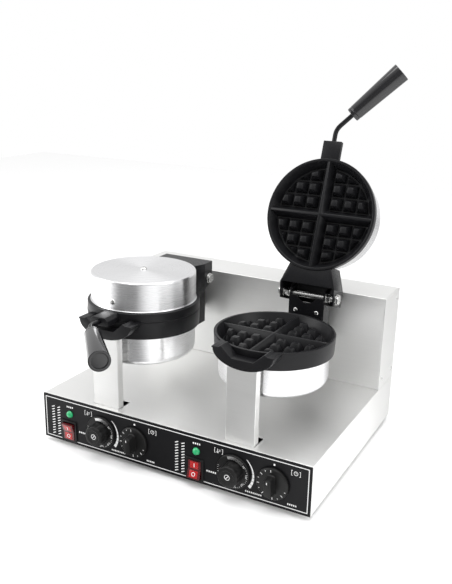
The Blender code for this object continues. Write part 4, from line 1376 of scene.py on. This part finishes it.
knob_mesh, scale_mesh = thermostat_knob(), thermostat_print()
band_mesh = printed(sector(112, 47, (0.0218, 0.0202), (0.0262, 0.0264), 24), THERMOSTAT_FACE)
for side in SIDES:
    place, body = control_place(side, "thermostat_turn"), f"{side}_thermostat_dial"
    add_piece(f"{side}_heat_knob", knob_mesh, body, "black_plastic", place, (f"{side}_thermostat_knob",))
    add_piece(f"{side}_heat_scale", scale_mesh, body, WHITE_PRINT, place)
    add_piece(f"{side}_heat_band", band_mesh, body, SILVER_PRINT, place)

# %% Timer knobs
TIMER_SKIRT = 0.0262
TIMER_FACE = 0.0065
BAR_HALF = (0.0065, 0.0145)
TIMER_LEAN = 5


def timer_knob():
    low_edge, high_edge = (TIMER_SKIRT, 0.0045), (TIMER_SKIRT - 0.0022, TIMER_FACE)
    skirt = rounded([(TIMER_SKIRT, KNOB_LOW), low_edge, high_edge], 0.0008)
    disc = turned([(0, KNOB_LOW), *skirt, (0, TIMER_FACE)])
    wide, tall = BAR_HALF
    corner = 0.0042
    outline = []
    for sign_x, sign_y, start in ((1, 1, 0), (-1, 1, 90), (-1, -1, 180), (1, -1, 270)):
        middle = (sign_x * (wide - corner), sign_y * (tall - corner))
        outline += arc(middle, corner, start, start + 90, 8)
    wall = [(0.0060, 1.10), (0.0072, 1.02), (0.0085, 1.0), (0.0200, 0.95)]
    edge = [(0.0214, 0.93), (0.0222, 0.89), (KNOB_TOP, 0.83)]
    return together(disc, lofted(outline, [*wall, *edge]))


def timer_print():
    pointer = box_print((-0.0006, 0.0080), (0.0006, 0.0116), KNOB_TOP)
    long_ticks = ticks(6, 0.0222, 90, 45, 0.0038, 0.0009, TIMER_FACE)
    short_ticks = ticks(6, 0.0230, 112.5, 45, 0.0018, 0.0009, TIMER_FACE)
    return together(pointer, long_ticks, short_ticks)


knob_mesh, tick_mesh = timer_knob(), timer_print()
for side in SIDES:
    place = control_place(side, "timer_turn") @ spin(TIMER_LEAN, "Z")
    body = f"{side}_timer_dial"
    add_piece(f"{side}_time_knob", knob_mesh, body, "black_plastic", place, (f"{side}_timer_knob",))
    add_piece(f"{side}_time_ticks", tick_mesh, body, WHITE_PRINT, place)
print("two thermostat knobs and two timer knobs")

# %% Marks on the rockers, and painted light on their faces
ROCKER_SLOPE = math.atan2(0.0026, 0.0150)
ROCKER_MIDDLE = (-0.0037, 0.0075)
# Painted light: a brighter red than the rocker's own, for lit patches on its face.
PAINTED_LIGHT_RED = tile_finish("lit_red", (0.42, 0.006, 0.006), (0.36, 0.004, 0.005), 0.25)


def on_rocker(upper):
    """The place of one half of the rocker's face: Y runs up the face and Z out of it."""
    y, z = ROCKER_MIDDLE
    lean = ROCKER_SLOPE if upper else -ROCKER_SLOPE
    return shift(0, y, z if upper else -z) @ Matrix.Rotation(math.radians(90) + lean, 4, "X")


# Painted light: a thin pad of the brighter red over the middle of each half of the rocker's face, with the
# rocker's darker red round it.
painted_light_pad = eased(block((-0.0074, -0.0058, -0.0002), (0.0074, 0.0058, 0.0003)), 0.0002)
stroke = box_print((-0.0006, -0.0032), (0.0006, 0.0032), 0.0003)
circle = ring_print(0.0033, 0.0024, 0.0003)
painted_light_pads = together(moved(painted_light_pad, on_rocker(True)), moved(painted_light_pad, on_rocker(False)))
signs = together(moved(stroke, on_rocker(True)), moved(circle, on_rocker(False)))
for side in SIDES:
    joint = JOINTS[f"{side}_switch_press"]
    place = shift(*joint["pos_m"]) @ spin(-sum(joint["range_deg"]) / 2, "X")
    add_piece(f"{side}_rocker_pads", painted_light_pads, f"{side}_rocker", PAINTED_LIGHT_RED, place)
    add_piece(f"{side}_rocker_signs", signs, f"{side}_rocker", WHITE_PRINT, place)
print("rocker signs made")

# %% [markdown]
# ## Print on the panel
# The panel is screen printed in white: a border all round, and for each head a warmth arc beside the
# thermostat, a dot that the timer is read against, two picture marks in brackets, and short labels.
# The labels are plain rows of small marks, since no words belong on a shared part.

# %% Border
BORDER_LEFT, BORDER_RIGHT = -0.2456, 0.2456
BORDER_LOW, BORDER_TOP = 0.0044, 0.0776
BORDER_WIDE = 0.0012

PANEL_PLACE = shift(0, PANEL_FACE, UNDERSIDE) @ UPRIGHT
inner_left, inner_right = BORDER_LEFT + BORDER_WIDE, BORDER_RIGHT - BORDER_WIDE
inner_low, inner_top = BORDER_LOW + BORDER_WIDE, BORDER_TOP - BORDER_WIDE
border = together(
    box_print((BORDER_LEFT, BORDER_LOW), (BORDER_RIGHT, inner_low)),
    box_print((BORDER_LEFT, inner_top), (BORDER_RIGHT, BORDER_TOP)),
    box_print((BORDER_LEFT, inner_low), (inner_left, inner_top)),
    box_print((inner_right, inner_low), (BORDER_RIGHT, inner_top)),
)
add_piece("panel_border", border, "base", WHITE_PRINT, PANEL_PLACE)

# %% Marks beside each head's controls
HEAT_SIGN, TIME_SIGN = (-0.0292, 0.0660), (0.0995, 0.0650)
TIMER_DOT = (0.0647, 0.0695)
ROWS = (
    (4, (-0.0740, 0.0675), (0.0037, 0), (0.0022, 0.0028)),
    (5, (-0.0490, 0.0260), (0.0037, 0), (0.0022, 0.0028)),
    (9, (0.0190, 0.0115), (0.0032, 0), (0.0019, 0.0026)),
    (5, (0.0890, 0.0112), (0.0032, 0), (0.0019, 0.0026)),
    (11, (-0.1047, 0.0110), (0, 0.0050), (0.0062, 0.0015), 24),
    (11, (-0.0930, 0.0115), (0, 0.0050), (0.0062, 0.0015), 24),
)


def bracket_pair(middle):
    """Two square brackets that face each other."""
    half, tall, lip, line = 0.0074, 0.0044, 0.0020, 0.0007
    marks = []
    for sign in (-1, 1):
        ends = sorted((sign * half, sign * (half - line)))
        marks.append(box_print((ends[0], -tall), (ends[1], tall)))
        inner = sorted((sign * (half - line), sign * (half - lip)))
        for low in (-tall, tall - line):
            marks.append(box_print((inner[0], low), (inner[1], low + line)))
    return moved(together(*marks), shift(*middle, 0))


def thermometer(middle):
    """A stem with a bulb, and two degree marks."""
    stem = box_print((-0.0022, -0.0012), (-0.0014, 0.0032))
    bulb = moved(ring_print(0.0016, 0.0007), shift(-0.0018, -0.0022, 0))
    lines = [box_print((0.0004, z), (0.0032, z + 0.0007)) for z in (-0.0008, 0.0014)]
    return moved(together(stem, bulb, *lines), shift(*middle, 0))


def clock(middle):
    """A dial with two hands."""
    long_hand = box_print((-0.0003, 0), (0.0003, 0.0020))
    short_hand = box_print((0.0003, -0.0003), (0.0015, 0.0003))
    return moved(together(ring_print(0.0034, 0.0027), long_hand, short_hand), shift(*middle, 0))


def warmth_arc():
    """A line beside the thermostat that gets wider towards hot, and breaks into blocks."""
    reach, thin, thick = 0.0334, 0.0008, 0.0048
    marks = []
    for span in ((50, 8), (7, -3), (-4.2, -14), (-15.2, -25), (-26.2, -37)):
        halves = [(thin + (thick - thin) * (50 - degrees) / 87) / 2 for degrees in span]
        inner, outer = [reach - half for half in halves], [reach + half for half in halves]
        marks.append(printed(sector(*span, inner, outer)))
    return together(*marks)


for side in SIDES:
    middle = head_place(side).translation.x
    knob = Vector(JOINTS[f"{side}_thermostat_turn"]["pos_m"])
    head_print = together(
        moved(warmth_arc(), shift(knob.x - middle, knob.z - UNDERSIDE, 0)),
        moved(cylinder(0.0016, 0, PRINT, 32), shift(*TIMER_DOT, 0)),
        bracket_pair(HEAT_SIGN),
        thermometer(HEAT_SIGN),
        bracket_pair(TIME_SIGN),
        clock(TIME_SIGN),
        *(row(*marks) for marks in ROWS),
    )
    add_piece(f"{side}_panel_print", head_print, "base", WHITE_PRINT, shift(middle, 0, 0) @ PANEL_PLACE)
print("panel print made")
